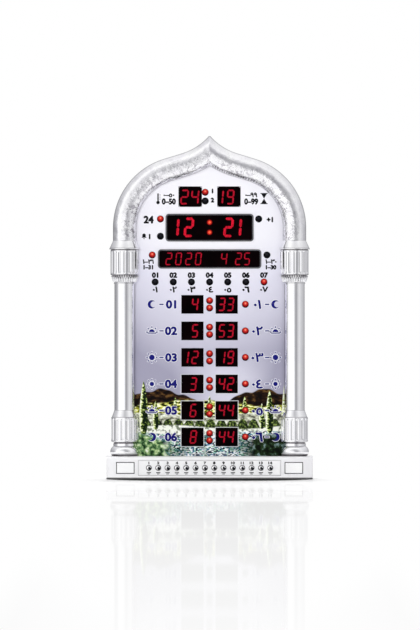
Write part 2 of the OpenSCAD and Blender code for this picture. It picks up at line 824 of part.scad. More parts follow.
module rear_cover() {
  plate_half = plinth_w / 2 - frame_wall - fit_gap;
  color(cover_grey) difference() {
    union() {
      difference() {
        upright(back_y, rear_d) case_outline(rear_inset, plinth_h);
        upright(back_inner_y, rear_d) case_outline(rear_inset + rear_wall, plinth_h - nudge);
      }
      box(-plate_half, plate_half, back_inner_y, back_y, frame_wall + fit_gap, plinth_h);
      both_sides() {
        for (p = half_screws) rod(case_pillar_r, seam_y, back_inner_y + nudge, p[0], p[1]);
        for (z = post_zs) rod(board_post_r, board_back_y, back_inner_y + nudge, post_x, z);
        for (z = panel_post_zs) rod(board_post_r, panel_back_y, back_inner_y + nudge, panel_post_x, z);
      }
      rod(speaker_ring_r, back_inner_y - speaker_ring_h, back_inner_y + nudge, 0, speaker_z);
    }
    rod(speaker_r + speaker_seat, back_inner_y - speaker_ring_h - nudge, back_inner_y, 0, speaker_z);
    both_sides() {
      for (p = half_screws) {
        rod(case_hole_r, seam_y - nudge, back_y, p[0], p[1]);
        rod(case_well_r, seam_y + case_floor, back_y + nudge, p[0], p[1]);
      }
      for (z = post_zs) rod(board_pilot_r, board_back_y - nudge, board_back_y + board_screw_len, post_x, z);
    }
    upright(back_y + nudge, rear_wall + 2 * nudge) {
      translate([0, speaker_z]) grille(speaker_r - speaker_rim);
      for (s = [-1, 1]) {
        translate([s * keyhole_x, keyhole_z]) keyhole();
        for (z = vent_zs) translate([s * vent_x, z]) vents();
      }
      translate([door_x, door_z]) square(door_w - 2 * door_lip, center = true);
      translate([inlet_x, key_z]) circle(r = inlet_r, $fn = round_fn);
    }
    upright(back_y + nudge, door_t + nudge) translate([door_x, door_z]) square(door_w, center = true);
  }
}

module battery_door() {
  groove_w = 12;
  plate = door_w - fit_gap;
  plug = door_w - 2 * door_lip - fit_gap;
  plate_y = back_y - door_t;
  color(cover_grey) difference() {
    union() {
      upright(back_y, door_t) translate([door_x, door_z]) square(plate, center = true);
      upright(plate_y + door_t / 2, 1.5 * door_t) translate([door_x, door_z]) square(plug, center = true);
    }
    upright(plate_y, rear_wall) translate([door_x, door_z]) square(plug - 3, center = true);
    // finger groove near the top edge
    translate([door_x - groove_w / 2, back_y + 1.2, door_z + door_w / 2 - 5]) rotate([0, 90, 0])
      cylinder(r = 1.7, h = groove_w, $fn = 32);
  }
}

// A cross-slotted pan-head screw: its head seats at seat_y, and it points forward or back
module screw(x, z, seat_y, head_r, head_h, shank_r, len, way) {
  translate([x, seat_y, z]) rotate([90 * way, 0, 0]) {
    difference() {
      translate([0, 0, -head_h]) cylinder(r = head_r, h = head_h, $fn = round_fn);
      for (a = [0, 90]) rotate(a)
        translate([-head_r * 0.6, -slot_w / 2, -head_h - nudge])
          cube([head_r * 1.2, slot_w, slot_depth + nudge]);
    }
    translate([0, 0, -slot_depth / 2]) cylinder(r = shank_r, h = len + slot_depth / 2, $fn = 32);
  }
}

module rear_cover_screws() {
  seat_y = seam_y + case_floor;
  color(steel) both_sides() for (p = half_screws)
    screw(p[0], p[1], seat_y, case_head_r, case_head_h, case_screw_r, case_floor + pilot_depth - 0.6, 1);
}

module board_screws() {
  color(steel) {
    both_sides() for (z = post_zs)
      screw(post_x, z, board_front_y, board_head_r, board_head_h, board_screw_r, board_screw_len, -1);
    for (p = key_posts)
      screw(p[0], p[1], key_board_back_y, board_head_r, board_head_h, board_screw_r, board_screw_len, 1);
  }
}

// A flat lead along a route of right-angled bends in y and height, w wide at x
module flat_lead(x, w, runs) {
  for (r = runs) box(x - w / 2, x + w / 2, r[0], r[1], r[2], r[3]);
}

module key_ribbon() {
  start_y = key_board_back_y + lead_header[1];
  rise_y = board_back_y + lead_header[1] + 1.5;
  end_z = supply_header_z + lead_header[2] / 2;
  color(cover_grey) flat_lead(ribbon_x, ribbon_w - 2, [
    [start_y, rise_y + lead_t, key_z - lead_t / 2, key_z + lead_t / 2],
    [rise_y, rise_y + lead_t, key_z - lead_t / 2, end_z + lead_t / 2],
    [board_back_y + lead_header[1], rise_y + lead_t, end_z - lead_t / 2, end_z + lead_t / 2],
  ]);
}

module dc_lead() {
  start_y = back_inner_y - jack_size[1];
  rise_y = board_front_y - lead_header[1] - 1.8;
  end_z = supply_header_z + lead_header[2] / 2;
  color(rubber_black) flat_lead(inlet_x, lead_w, [
    [rise_y, start_y, key_z - lead_t / 2, key_z + lead_t / 2],
    [rise_y, rise_y + lead_t, key_z - lead_t / 2, end_z + lead_t / 2],
    [rise_y, board_front_y - lead_header[1], end_z - lead_t / 2, end_z + lead_t / 2],
  ]);
}

module speaker_lead() {
  start_z = speaker_z + speaker_ring_r + lead_clear;
  rise_y = back_inner_y - 2;
  end_z = speaker_header_z + lead_header[2] / 2;
  color(rubber_black) flat_lead(0, lead_w, [
    [rise_y, rise_y + lead_t, start_z, end_z + lead_t / 2],
    [board_back_y + lead_header[1], rise_y + lead_t, end_z - lead_t / 2, end_z + lead_t / 2],
  ]);
}

base_plinth();
key_strip();
mirror([1, 0, 0]) corner_plate();  // left_corner_plate
corner_plate();  // right_corner_plate
push_button(0);  // push_button_01
push_button(1);  // push_button_02
push_button(2);  // push_button_03
push_button(3);  // push_button_04
push_button(4);  // push_button_05
push_button(5);  // push_button_06
push_button(6);  // push_button_07
push_button(7);  // push_button_08
push_button(8);  // push_button_09
push_button(9);  // push_button_10
push_button(10);  // push_button_11
push_button(11);  // push_button_12
push_button(12);  // push_button_13
push_button(13);  // push_button_14
arch_moulding();
mirror([1, 0, 0]) column_foot();  // left_column_foot
column_foot();  // right_column_foot
mirror([1, 0, 0]) column_shaft();  // left_column_shaft
column_shaft();  // right_column_shaft
mirror([1, 0, 0]) column_capital();  // left_column_capital
column_capital();  // right_column_capital
face_panel();
bezel(time_z, time_w, time_h);  // time_bezel
bezel(date_z, date_w, date_h);  // date_bezel
top_display(-top_window_x);  // temperature_display
top_display(top_window_x);  // countdown_display
display(0, time_z, time_w - 2 * bezel_w, time_h - 2 * bezel_w);  // time_display
display(0, date_z, date_w - 2 * bezel_w, date_h - 2 * bezel_w);  // date_display
row_displays(0);  // row_1_displays
row_displays(1);  // row_2_displays
row_displays(2);  // row_3_displays
row_displays(3);  // row_4_displays
row_displays(4);  // row_5_displays
row_displays(5);  // row_6_displays
lamps(colon_spots);  // colon_leds
lamps(row_spots);  // row_leds
lamps(weekday_spots);  // weekday_leds
lamps(status_spots);  // status_leds
main_board();
key_board();
tact_switches();
processor_chip();
temperature_sensor();
speaker();
dc_jack();
cell_holder();
backup_cell();
rear_cover();
battery_door();
rear_cover_screws();
board_screws();
key_ribbon();
dc_lead();
speaker_lead();
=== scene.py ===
import json
import math
import bmesh
import bpy
from mathutils import Matrix, Vector

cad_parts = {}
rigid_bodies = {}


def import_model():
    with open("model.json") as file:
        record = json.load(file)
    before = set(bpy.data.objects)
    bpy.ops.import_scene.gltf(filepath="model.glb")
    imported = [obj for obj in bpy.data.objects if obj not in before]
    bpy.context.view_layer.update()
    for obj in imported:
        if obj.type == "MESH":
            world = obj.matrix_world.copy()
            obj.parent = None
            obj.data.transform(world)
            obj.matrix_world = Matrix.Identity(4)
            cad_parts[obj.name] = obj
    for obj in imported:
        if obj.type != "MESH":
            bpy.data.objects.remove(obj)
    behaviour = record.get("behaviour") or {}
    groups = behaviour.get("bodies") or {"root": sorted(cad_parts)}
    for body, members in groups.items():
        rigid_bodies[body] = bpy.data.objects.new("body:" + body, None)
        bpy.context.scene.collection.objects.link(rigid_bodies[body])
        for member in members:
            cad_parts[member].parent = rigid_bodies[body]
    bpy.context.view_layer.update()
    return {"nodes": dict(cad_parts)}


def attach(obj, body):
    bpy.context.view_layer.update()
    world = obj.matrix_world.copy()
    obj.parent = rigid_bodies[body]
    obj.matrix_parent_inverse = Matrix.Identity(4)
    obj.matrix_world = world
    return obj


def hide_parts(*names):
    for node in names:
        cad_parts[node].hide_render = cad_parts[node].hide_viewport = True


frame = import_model()
cadNodes = frame["nodes"]
mm = 0.001
sceneObjects = bpy.context.scene.collection.objects
print("frame loaded")

# Sizes that the CAD model gives, in millimetres
caseSizes = {
    "seamY": 2.45, "frontY": -21.55, "stripY": -20.95, "springZ": 293.042, "columnX": 99.1,
    "topWindowX": 22.6, "topWindowZ": 329.242, "timeZ": 293.042, "weekdayZ": 229.542,
    "rowTopZ": 203.442, "rowStep": 30.988, "rows": 6, "dayStep": 21.2, "keyPitch": 10.86, "keyZ": 13.15,
    "keys": 14, "plateX": 98.0,
}
rowZ = [caseSizes["rowTopZ"] - caseSizes["rowStep"] * i for i in range(caseSizes["rows"])]
bothSides = (("left", -1), ("right", 1))


def acts(operation, swapped=False):  # what a sign between two values does
    if swapped:
        return lambda self, other: calc(operation, other, self)
    return lambda self, *others: calc(operation, self, *others)


class Value:  # a number or place in a node tree, so that sums can be written plainly
    def __init__(self, socket):
        self.socket = socket
        self.tree = socket.id_data

    __add__, __sub__, __rsub__ = acts("ADD"), acts("SUBTRACT"), acts("SUBTRACT", True)
    __mul__, __truediv__, __rtruediv__ = acts("MULTIPLY"), acts("DIVIDE"), acts("DIVIDE", True)
    __pow__, __abs__ = acts("POWER"), acts("ABSOLUTE")


def plug(value, socket):  # links a value or a node's first output, or writes a plain number or colour
    if isinstance(value, bpy.types.Node):
        value = value.outputs[0]
    source = getattr(value, "socket", value)
    if isinstance(source, bpy.types.NodeSocket):
        socket.id_data.links.new(source, socket)
    elif socket.type == "RGBA":
        socket.default_value = (*value, 1)[:4]
    else:
        socket.default_value = value


def addNode(tree, kind, inputs=None, **settings):
    node = tree.nodes.new(kind)
    for name, value in settings.items():
        setattr(node, name, value)
    for key, value in (inputs or {}).items():
        plug(value, node.inputs[key])
    return node


def out(node, key=0):
    return Value(node.outputs[key])


def treeOf(*values):
    return next(value.tree for value in values if isinstance(value, Value))


def calc(operation, *values, clamp=False):
    inputs = dict(enumerate(values))
    return out(addNode(treeOf(*values), "ShaderNodeMath", inputs, operation=operation, use_clamp=clamp))


def blend(amount, first, second, mode="MIX"):  # from the first colour to the second
    inputs = {0: amount, 6: first, 7: second}
    tree = treeOf(amount, first, second)
    return out(addNode(tree, "ShaderNodeMix", inputs, data_type="RGBA", blend_type=mode), 2)


def most(first, second):
    return calc("MAXIMUM", first, second)


def spread(value, low, high, newLow=0, newHigh=1):
    return out(addNode(value.tree, "ShaderNodeMapRange", {0: value, 1: low, 2: high, 3: newLow, 4: newHigh}))


def between(value, start, full, fall, end):  # rises from 0 to 1 and falls back to 0
    return spread(value, start, full) * spread(value, fall, end, 1, 0)


def ramp(value, stops):  # a stop is its place, red, green and blue
    node = addNode(value.tree, "ShaderNodeValToRGB", {0: value})
    marks = node.color_ramp.elements
    while len(marks) < len(stops):
        marks.new(0.5)
    for mark, (place, *colour) in zip(marks, stops):
        mark.position = place
        mark.color = (*colour, 1)
    return out(node)


def greys(stops):
    return [(place, level, level, level) for place, level in stops]


def attribute(tree, name):
    return out(addNode(tree, "ShaderNodeAttribute", attribute_name=name), "Fac")


def splitUp(place):
    tree = place.tree if isinstance(place, Value) else place.id_data
    return [Value(socket) for socket in addNode(tree, "ShaderNodeSeparateXYZ", {0: place}).outputs]


def splitMm(place):  # x, y and z of a place, in millimetres
    scaled = addNode(place.tree, "ShaderNodeVectorMath", {0: place, "Scale": 1 / mm}, operation="SCALE")
    return splitUp(scaled)


def newGroup(name, inputs, outputs, kind="ShaderNodeTree"):
    # each socket has a type, or the number that it starts with
    group = bpy.data.node_groups.new(name, kind)
    for way, sockets in (("INPUT", inputs), ("OUTPUT", outputs)):
        for label, what in sockets.items():
            given = "Float" if isinstance(what, float) else what
            socket = group.interface.new_socket(name=label, in_out=way, socket_type="NodeSocket" + given)
            if isinstance(what, float):
                socket.default_value = what
    given = group.nodes.new("NodeGroupInput")
    made = group.nodes.new("NodeGroupOutput")
    return group, [Value(given.outputs[label]) for label in inputs], made.inputs


def startMaterial(name, **values):
    material = bpy.data.materials.new(name)
    material.use_nodes = True
    shader = material.node_tree.nodes["Principled BSDF"]
    for key, value in values.items():
        shader.inputs[key.replace("_", " ")].default_value = value
    return material, shader, out(addNode(material.node_tree, "ShaderNodeTexCoord"), "Object")


def dress(shader, tone, wear, rough, height=None, depth=0.0, span=(0.3, 0.7)):
    # roughness follows the wear over its span; the height's depth is in millimetres
    plug(tone, shader.inputs["Base Color"])
    plug(spread(wear, *span, *rough), shader.inputs["Roughness"])
    if height is not None:
        bump = addNode(shader.id_data, "ShaderNodeBump", {"Distance": depth * mm, "Height": height})
        plug(bump, shader.inputs["Normal"])


def meshFrom(name, bm):
    bmesh.ops.recalc_face_normals(bm, faces=bm.faces)
    mesh = bpy.data.meshes.new(name)
    bm.to_mesh(mesh)
    bm.free()
    return mesh


def placeMesh(name, mesh, material=None, sharp=None):
    mesh.name = name
    if material is not None:
        mesh.materials.clear()
        mesh.materials.append(material)
    if sharp is not None:
        mesh.shade_smooth()
        mesh.set_sharp_from_angle(angle=math.radians(sharp))
    piece = bpy.data.objects.new(name, mesh)
    sceneObjects.link(piece)
    return piece


def bridge(bm, lower, upper):  # faces between two closed rings of points
    for i in range(len(lower)):
        j = (i + 1) % len(lower)
        bm.faces.new((lower[i], lower[j], upper[j], upper[i]))


def onCase(piece, slotName, *nodes):
    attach(piece, "case")
    if nodes:
        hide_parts(*nodes)
    return piece


def coat(material, *nodeNames):  # gives CAD nodes a finish
    for name in nodeNames:
        data = cadNodes[name].data
        data.materials.clear()
        data.materials.append(material)


def buildGrain():
    group, (place, *sizes), made = newGroup("fineGrain", {
        "Place": "Vector", "Grain size": 0.6, "Patch size": 30.0}, {"Grain": "Float", "Patches": "Float"})
    for socket, size, detail, rough in zip(made, sizes, (3.0, 2.0), (0.6, 0.5)):
        plug(addNode(group, "ShaderNodeTexNoise", {
            "Vector": place, "Scale": 1 / mm / size, "Detail": detail, "Roughness": rough}), socket)
    return group


def buildHammer():
    group, (place, dentSize, wrinkleSize, share), made = newGroup("hammeredPlating", {
        "Place": "Vector", "Dent size": 4.0, "Wrinkle size": 9.0, "Wrinkle share": 0.5,
    }, {"Height": "Float", "Wear": "Float"})
    dents = out(addNode(group, "ShaderNodeTexVoronoi", {
        "Vector": place, "Scale": 1 / mm / dentSize}, feature="SMOOTH_F1"))
    wrinkles = out(addNode(group, "ShaderNodeTexNoise", {
        "Vector": place, "Scale": 1 / mm / wrinkleSize, "Detail": 4.0, "Roughness": 0.55, "Distortion": 1.2}))
    plug(dents * 0.6 + wrinkles * share, made[0])
    plug(wrinkles, made[1])
    return group


grainGroup = buildGrain()
hammerGroup = buildHammer()


def useGroup(group, place, *sizes):  # sizes in millimetres, in the order of the group's sockets
    node = addNode(place.tree, "ShaderNodeGroup", node_tree=group)
    for value, socket in zip((place, *sizes), node.inputs):
        plug(value, socket)
    return [Value(socket) for socket in node.outputs]


def patchy(patches, colour, shade):
    return blend(spread(patches, 0.35, 0.65), colour, shade)


def mouldedFinish(name, colour, shade, rough, grain, depth, **extra):
    material, shader, place = startMaterial(name, **extra)
    fine, patches = useGroup(grainGroup, place, grain, grain * 45)
    dress(shader, patchy(patches, colour, shade), fine, (rough - 0.05, rough + 0.05), fine, depth)
    return material


def platedFinish(name, colour, shade, rough, dent, wrinkle, depth):
    material, shader, place = startMaterial(name, Metallic=1.0)
    height, wear = useGroup(hammerGroup, place, dent, wrinkle, 0.5)
    tone = blend(spread(wear, 0.35, 0.7), colour, shade)
    dress(shader, tone, wear, (rough, rough + 0.1), height, depth)
    return material


def rectangleRing(x, z, middle, half, low, high):  # 1 in a band outside a rectangle, in millimetres
    beside = most(abs(x - middle[0]) - half[0], abs(z - middle[1]) - half[1])
    return between(beside, low - 0.1, low + 0.1, high - 0.15, high + 0.15)


# Tones of the plating: edge paints shade along the tube's edges, speck paints broken reflections and dash
# paints shade at the inner edge
archLook = {
    "silver": (0.97, 0.97, 0.98), "worn": (0.9, 0.89, 0.93), "edge": (0.2, 0.185, 0.2),
    "speck": (0.42, 0.4, 0.45), "dash": (0.08, 0.06, 0.07), "dashes": 150.0, "relief": 0.3,
}


def archFinish():
    material, shader, place = startMaterial("archSilver", Metallic=1.0)
    across = 1.0 - attribute(place.tree, "across")  # 0 at the inner edge, 1 at the outer
    broadHeight, broadWear = useGroup(hammerGroup, place, 9.0, 26.0, 1.0)
    fineHeight, fineWear = useGroup(hammerGroup, place, 2.6, 5.0, 1.2)
    inner = spread(across + spread(broadWear, 0.3, 0.7, -0.1, 0.1), 0.3, 0.62, 1, 0)
    height = broadHeight * 2.3 + fineHeight * spread(inner, 0, 1, 0.2, 1.3)
    tone = patchy(broadWear, archLook["silver"], archLook["worn"])
    # painted shade along the inner and outer edges of the tube
    edges = most(spread(across, 0.02, 0.2, 0.75, 0), spread(across, 0.84, 0.98, 0, 0.72))
    tone = blend(edges, tone, archLook["edge"])
    # grey specks over the hammered inner half: painted broken reflections of the dents
    speck = spread(fineWear, 0.52, 0.6, 0, 0.85) * spread(inner, 0, 1, 0.12, 1.0)
    tone = blend(speck, tone, archLook["speck"])
    # short dark dashes along the inner edge, on the upper right: painted shade where the tube meets the face
    x, y, z = splitMm(place)
    turn = calc("ARCTAN2", z - caseSizes["springZ"], x)
    dash = spread(calc("SINE", turn * archLook["dashes"]), -0.3, 0.3)
    dash = dash * between(turn, 0.5, 0.8, 1.5, 1.56) * between(across, 0.1, 0.14, 0.2, 0.25)
    tone = blend(dash * 0.7, tone, archLook["dash"])
    dress(shader, tone, inner, (0.1, 0.2), height, archLook["relief"], (0, 1))
    return material


# The dark tone is painted shade, in grooves, under overhangs and along the shafts' inner edges
columnLook = {
    "silver": (0.97, 0.97, 0.98), "worn": (0.92, 0.92, 0.95), "groove": (0.09, 0.075, 0.085),
    "shaftEdge": (87.4, 88.4),
}


def columnFinish(name, shaft):
    material, shader, place = startMaterial(name, Metallic=1.0)
    height, wear = useGroup(hammerGroup, place, 7.0, 24.0, 0.5)
    worn = spread(wear, 0.35, 0.7)
    if shaft:  # its inner edge lies in the shade of the face
        dark = spread(abs(splitMm(place)[0]), *columnLook["shaftEdge"], 0.8, 0)
    else:
        # painted shade from the profile, broken up a little by the wear
        dark = attribute(place.tree, "groove")
        dark = calc("ADD", dark, dark * spread(worn, 0, 1, -0.2, 0.2), clamp=True)
    tone = blend(dark, blend(worn, columnLook["silver"], columnLook["worn"]), columnLook["groove"])
    dress(shader, tone, wear, (0.04, 0.1), height, 0.035)
    return material


# The tones round the key strip's recess, at the right end, across the middle and at the foot are painted
# shade
plinthLook = {
    "white": (0.97, 0.97, 0.98), "patch": (0.94, 0.94, 0.955), "pocketShade": (0.035, 0.035, 0.04),
    "rightEndShade": (0.62, 0.61, 0.65), "middle": (0.84, 0.83, 0.86), "foot": (0.05, 0.05, 0.055),
    "pocket": (82.45, 8.4), "lineWide": 0.7,
}


def plinthFinish():
    material, shader, place = startMaterial("plinthPaint", Coat_Weight=0.3, Coat_Roughness=0.2)
    fine, patches = useGroup(grainGroup, place, 0.5, 60.0)
    x, y, z = splitMm(place)
    tone = patchy(patches, plinthLook["white"], plinthLook["patch"])
    middle = (0.0, caseSizes["keyZ"])
    # painted shade along the edge of the key strip's recess
    line = rectangleRing(abs(x), z, middle, plinthLook["pocket"], 0.0, plinthLook["lineWide"])
    tone = blend(line * 0.6 * spread(y, -20.0, -21.0), tone, plinthLook["pocketShade"])
    # painted shade towards the right end
    tone = blend(spread(x, 88.0, 119.0, 0, 0.42), tone, plinthLook["rightEndShade"])
    # painted shade in a band across the middle height
    tone = blend(between(z, 3.0, 5.5, 22.5, 25.0) * 0.4, tone, plinthLook["middle"])
    # painted contact shadow along the bottom edge
    tone = blend(spread(z, 1.2, 2.5, 0.95, 0), tone, plinthLook["foot"])
    dress(shader, tone, fine, (0.37, 0.47), fine, 0.01)
    return material


# The border tone is painted shade in the gap round the plate
plateLook = {
    "white": (0.985, 0.985, 0.985), "patch": (0.965, 0.965, 0.975), "gapShade": (0.05, 0.05, 0.055),
    "field": (9.8, 5.9), "borderWide": 2.0,
}


def plateFinish():
    material, shader, place = startMaterial("plateWhite")
    fine, patches = useGroup(grainGroup, place, 0.5, 20.0)
    x, y, z = splitMm(place)
    middle = (caseSizes["plateX"], caseSizes["keyZ"])
    # painted shade in the gap round the plate
    gapShade = rectangleRing(abs(x), z, middle, plateLook["field"], 0.0, plateLook["borderWide"])
    tone = blend(gapShade, patchy(patches, plateLook["white"], plateLook["patch"]), plateLook["gapShade"])
    dress(shader, tone, fine, (0.3, 0.4), fine, 0.01)
    return material


# Painted reflections on a key's chrome cap, a dark wedge and a dark ring round a bright middle; each spot is
# x, z, radius and softness, in millimetres from its middle
paintedKeyReflection = {
    "bright": (0.93, 0.93, 0.94), "dark": (0.02, 0.02, 0.025),
    "wedge": (0.85, -0.5, 1.95, 0.25), "wedgeCut": (2.2, 1.4, 1.3, 0.3), "insideRing": (-0.1, 0.1, 2.55, 0.3),
}


def keyFinish():
    material, shader, place = startMaterial("keyChrome", Metallic=1.0)
    pitch = caseSizes["keyPitch"]
    x, y, z = splitMm(place)
    u = (calc("FRACT", x / pitch + 20.0) - 0.5) * pitch
    v = z - caseSizes["keyZ"]
    fine, patches = useGroup(grainGroup, place, 0.8, 5.0)
    wobble = spread(patches, 0.3, 0.7, -0.25, 0.25)

    def roundSpot(atU, atV, size, soft):
        du, dv = u - atU, v - atV
        return spread(calc("SQRT", du * du + dv * dv) + wobble, size - soft, size + soft, 1, 0)

    wedge = roundSpot(*paintedKeyReflection["wedge"]) * (1.0 - roundSpot(*paintedKeyReflection["wedgeCut"]))
    ring = 1.0 - roundSpot(*paintedKeyReflection["insideRing"])
    tone = blend(most(wedge, ring * 0.95), paintedKeyReflection["bright"], paintedKeyReflection["dark"])
    dress(shader, tone, fine, (0.05, 0.12))
    return material


archSilver = archFinish()
columnSilver = columnFinish("columnSilver", False)
print("shared finishes ready")


# Heights and places in millimetres. A line is its height and its waves: swing, turns and start.
# Noise is its size, detail and upright stretch. Tones run from the noise's low to its high.
# A bank fades over x: from, to, and its share at each.
picture = {
    "sky": [(0.0, 0.97, 0.965, 0.99), (0.35, 0.74, 0.73, 0.84), (0.7, 0.54, 0.53, 0.64),
            (1.0, 0.36, 0.35, 0.46)],
    "skyFall": (330.0, 110.0), "skyTop": (282.0, 318.0),
    "dawnX": 26.0, "dawnWide": (15.0, 70.0), "dawnHigh": (150.0, 118.0),
    "hills": {
        "line": (96.0, (8.0, 0.052, 4.6), (1.3, 0.21, 0.4), (0.6, 0.43, 2.0)), "soft": 0.6,
        "noise": (9.0, 4.0, 1.8),
        "tones": [(0.38, 0.003, 0.0015, 0.0015), (0.54, 0.02, 0.008, 0.004), (0.7, 0.14, 0.07, 0.02)]},
    "meadow": {
        "line": (88.0, (3.4, 0.036, 2.2), (0.8, 0.17, 1.0)), "soft": 1.0, "noise": (7.0, 5.0, 3.2),
        "tones": [(0.4, 0.003, 0.006, 0.002), (0.47, 0.1, 0.11, 0.01), (0.52, 0.6, 0.62, 0.04),
                  (0.6, 0.97, 0.98, 0.42), (0.68, 0.99, 0.99, 0.92)]},
    "field": {
        "line": (75.0, (2.0, 0.045, 5.0)), "soft": 0.3, "noise": (6.0, 4.0, 1.6),
        "tones": [(0.35, 0.1, 0.1, 0.08), (0.5, 0.5, 0.52, 0.38), (0.68, 0.92, 0.95, 0.85)]},
    "bushes": {
        "top": 69.5, "pitch": 12.5, "start": 180.0, "round": 0.1, "power": 2.4, "noise": (2.8, 3.0),
        "tones": [(0.4, 0.008, 0.012, 0.006), (0.55, 0.06, 0.1, 0.02), (0.7, 0.3, 0.4, 0.1)]},
    "path": {
        "line": (60.0, (2.4, 0.041, 3.4)), "soft": 0.6, "noise": (5.0,),
        "tones": [(0.36, 0.2, 0.24, 0.16), (0.5, 0.93, 0.95, 0.86)]},
    "pond": {
        "line": (53.0, (2.6, 0.037, 5.6)), "soft": 0.8, "scale": 0.5, "flatten": 1.7,
        "deep": (0.03, 0.1, 0.06),
        "tones": [(0.0, 0.002, 0.005, 0.008), (0.28, 0.008, 0.03, 0.06), (0.4, 0.12, 0.28, 0.5),
                  (0.54, 0.28, 0.58, 0.36), (0.66, 0.78, 0.88, 0.93), (0.85, 0.98, 0.98, 0.98)]},
    "banks": (
        {"fade": (38.0, 52.0, 0, 1), "noise": (6.0, 4.0),
         "tones": [(0.42, 0.002, 0.005, 0.002), (0.6, 0.02, 0.045, 0.015), (0.72, 0.2, 0.3, 0.3)]},
        {"fade": (-56.0, -40.0, 1, 0), "noise": (5.0, 4.0),
         "tones": [(0.34, 0.01, 0.03, 0.01), (0.5, 0.12, 0.26, 0.1), (0.62, 0.5, 0.66, 0.3),
                   (0.75, 0.9, 0.95, 0.85)]}),
    # cypresses: middle, foot, height and fullness
    "trees": ((-90, 54, 40, 5.2), (-77, 52, 62, 6.4), (-63, 57, 34, 4.6), (-40, 78, 17, 3.0),
              (0, 77, 20, 3.2), (41, 78, 18, 3.0), (61, 58, 30, 4.4), (70, 53, 50, 5.8), (90, 50, 74, 7.0)),
    "leaves": [(0.35, 0.003, 0.01, 0.003), (0.43, 0.14, 0.22, 0.03), (0.51, 0.66, 0.78, 0.26),
               (0.64, 0.95, 0.97, 0.8)],
    "bankLine": (44.0, 9.0, (3.0, 0.08, 2.4)), "halfFace": 96.0,
    "rowLine": (0.72, 0.73, 0.78), "rowMiddle": (20.0, 0.0), "rowHalf": (13.0, 10.9), "rowLineTop": 125.0,
    "topLine": (0.16, 0.16, 0.18), "topHalf": (13.3, 11.6),
}


def buildPanelPrint():
    material, shader, place = startMaterial("facePrint", Specular_IOR_Level=0.06)
    tree = place.tree
    x, y, z = splitMm(place)

    def stretched(amount):
        return out(addNode(tree, "ShaderNodeCombineXYZ", {0: x, 1: z * amount}))

    def noiseAt(size, detail=2.0, stretch=1.0):
        inputs = {"Vector": stretched(stretch), "Scale": 1 / size, "Detail": detail}
        return out(addNode(tree, "ShaderNodeTexNoise", inputs, noise_dimensions="2D"))

    def below(height, soft=0.6):  # 1 where z is under a height
        return spread(height - z, -soft, soft)

    def lineOver(height, *waves):
        for swing, turns, start in waves:
            height = calc("SINE", x * turns + start) * swing + height
        return height

    def lay(name, over):
        part = picture[name]
        tone = ramp(noiseAt(*part["noise"]), part["tones"])
        return blend(below(lineOver(*part["line"]), part["soft"]), over, tone)

    # sky: nearly white at the top and a lavender grey towards the foot, with painted shade greying it towards
    # the sides and under the arch's crown
    fall = spread(z, *picture["skyFall"])
    sideways = abs(x / picture["halfFace"]) ** 2.0
    dawn = spread(abs(x - picture["dawnX"]), *picture["dawnWide"], 1, 0)
    dawn = spread(z, *picture["dawnHigh"], 0, 0.5) * dawn
    # painted shade along the sides next to the columns and at the top under the arch
    edgeShade = sideways * 0.08 + spread(z, *picture["skyTop"], 0, 0.1)
    shade = fall ** 1.7 + sideways * fall * 0.35 - dawn
    colour = ramp(calc("ADD", shade, edgeShade, clamp=True), picture["sky"])

    for name in ("hills", "meadow", "field"):
        colour = lay(name, colour)

    bushes = picture["bushes"]
    pitch = bushes["pitch"]
    beside = abs(calc("FRACT", (x + bushes["start"]) / pitch) - 0.5) * pitch
    crown = bushes["top"] - beside ** bushes["power"] * bushes["round"]
    colour = blend(below(crown, 0.4), colour, ramp(noiseAt(*bushes["noise"]), bushes["tones"]))
    colour = lay("path", colour)

    # pond with broken reflections
    pond = picture["pond"]
    ripple = addNode(tree, "ShaderNodeTexVoronoi", {
        "Vector": stretched(pond["flatten"]), "Scale": pond["scale"]}, voronoi_dimensions="2D")
    speck = out(addNode(tree, "ShaderNodeSeparateColor", {0: out(ripple, "Color")}))
    water = blend(spread(noiseAt(22.0), 0.45, 0.62, 0, 0.6), ramp(speck, pond["tones"]), pond["deep"])
    colour = blend(below(lineOver(*pond["line"]), pond["soft"]), colour, water)
    low, lift, wave = picture["bankLine"]
    rise = below(lineOver(sideways * lift + low, wave), 1.5)
    for bank in picture["banks"]:
        tone = ramp(noiseAt(*bank["noise"]), bank["tones"])
        colour = blend(rise * spread(x, *bank["fade"]), colour, tone)

    for middle, foot, tall, wide in picture["trees"]:
        climb = (z - foot) / tall
        low = most(climb, 0.0) ** 0.3
        high = most(1.0 - climb, 0.0) ** 0.7
        reach = low * high * (1.5 * wide) - abs(x - middle)
        leaf = reach * -0.05 + ((middle - x) * 0.05 + noiseAt(3.0, 4.0, 1.4))
        colour = blend(spread(reach, 0.0, 0.5), colour, ramp(leaf, picture["leaves"]))

    # pale lines round the row windows, where they stand on the picture
    step = caseSizes["rowStep"]
    rowOff = (calc("FRACT", (z - caseSizes["rowTopZ"]) / step + 20.5) - 0.5) * step
    ring = rectangleRing(abs(x), rowOff, picture["rowMiddle"], picture["rowHalf"], 0.1, 0.75)
    colour = blend(ring * below(picture["rowLineTop"], 6.0), colour, picture["rowLine"])

    # darker lines round the two small windows at the top
    for name, side in bothSides:
        middle = (side * caseSizes["topWindowX"], caseSizes["topWindowZ"])
        line = rectangleRing(x, z, middle, picture["topHalf"], 0.0, 0.45)
        colour = blend(line, colour, picture["topLine"])

    fine, patches = useGroup(grainGroup, place, 0.5, 30.0)
    dress(shader, colour, fine, (0.28, 0.36), fine, 0.006)
    return material


coat(buildPanelPrint(), "face_panel")
print("face printed")


archPlan = {
    "tube": 27.4, "wall": 3.2, "halfWidth": 112.8, "shoulder": 84.0, "turn": 73.0, "link": 21.889,
    "reverse": 69.0, "reverseTurn": 42.0, "leg": 15.0, "top": 400.0, "step": 0.8,
    "outerSteps": 48, "innerSteps": 24, "dent": 0.16, "dentSize": 6.0, "seed": 4.0,
}


def onArc(centre, radius, angle):
    return (centre[0] + radius * math.cos(angle), centre[1] + radius * math.sin(angle))


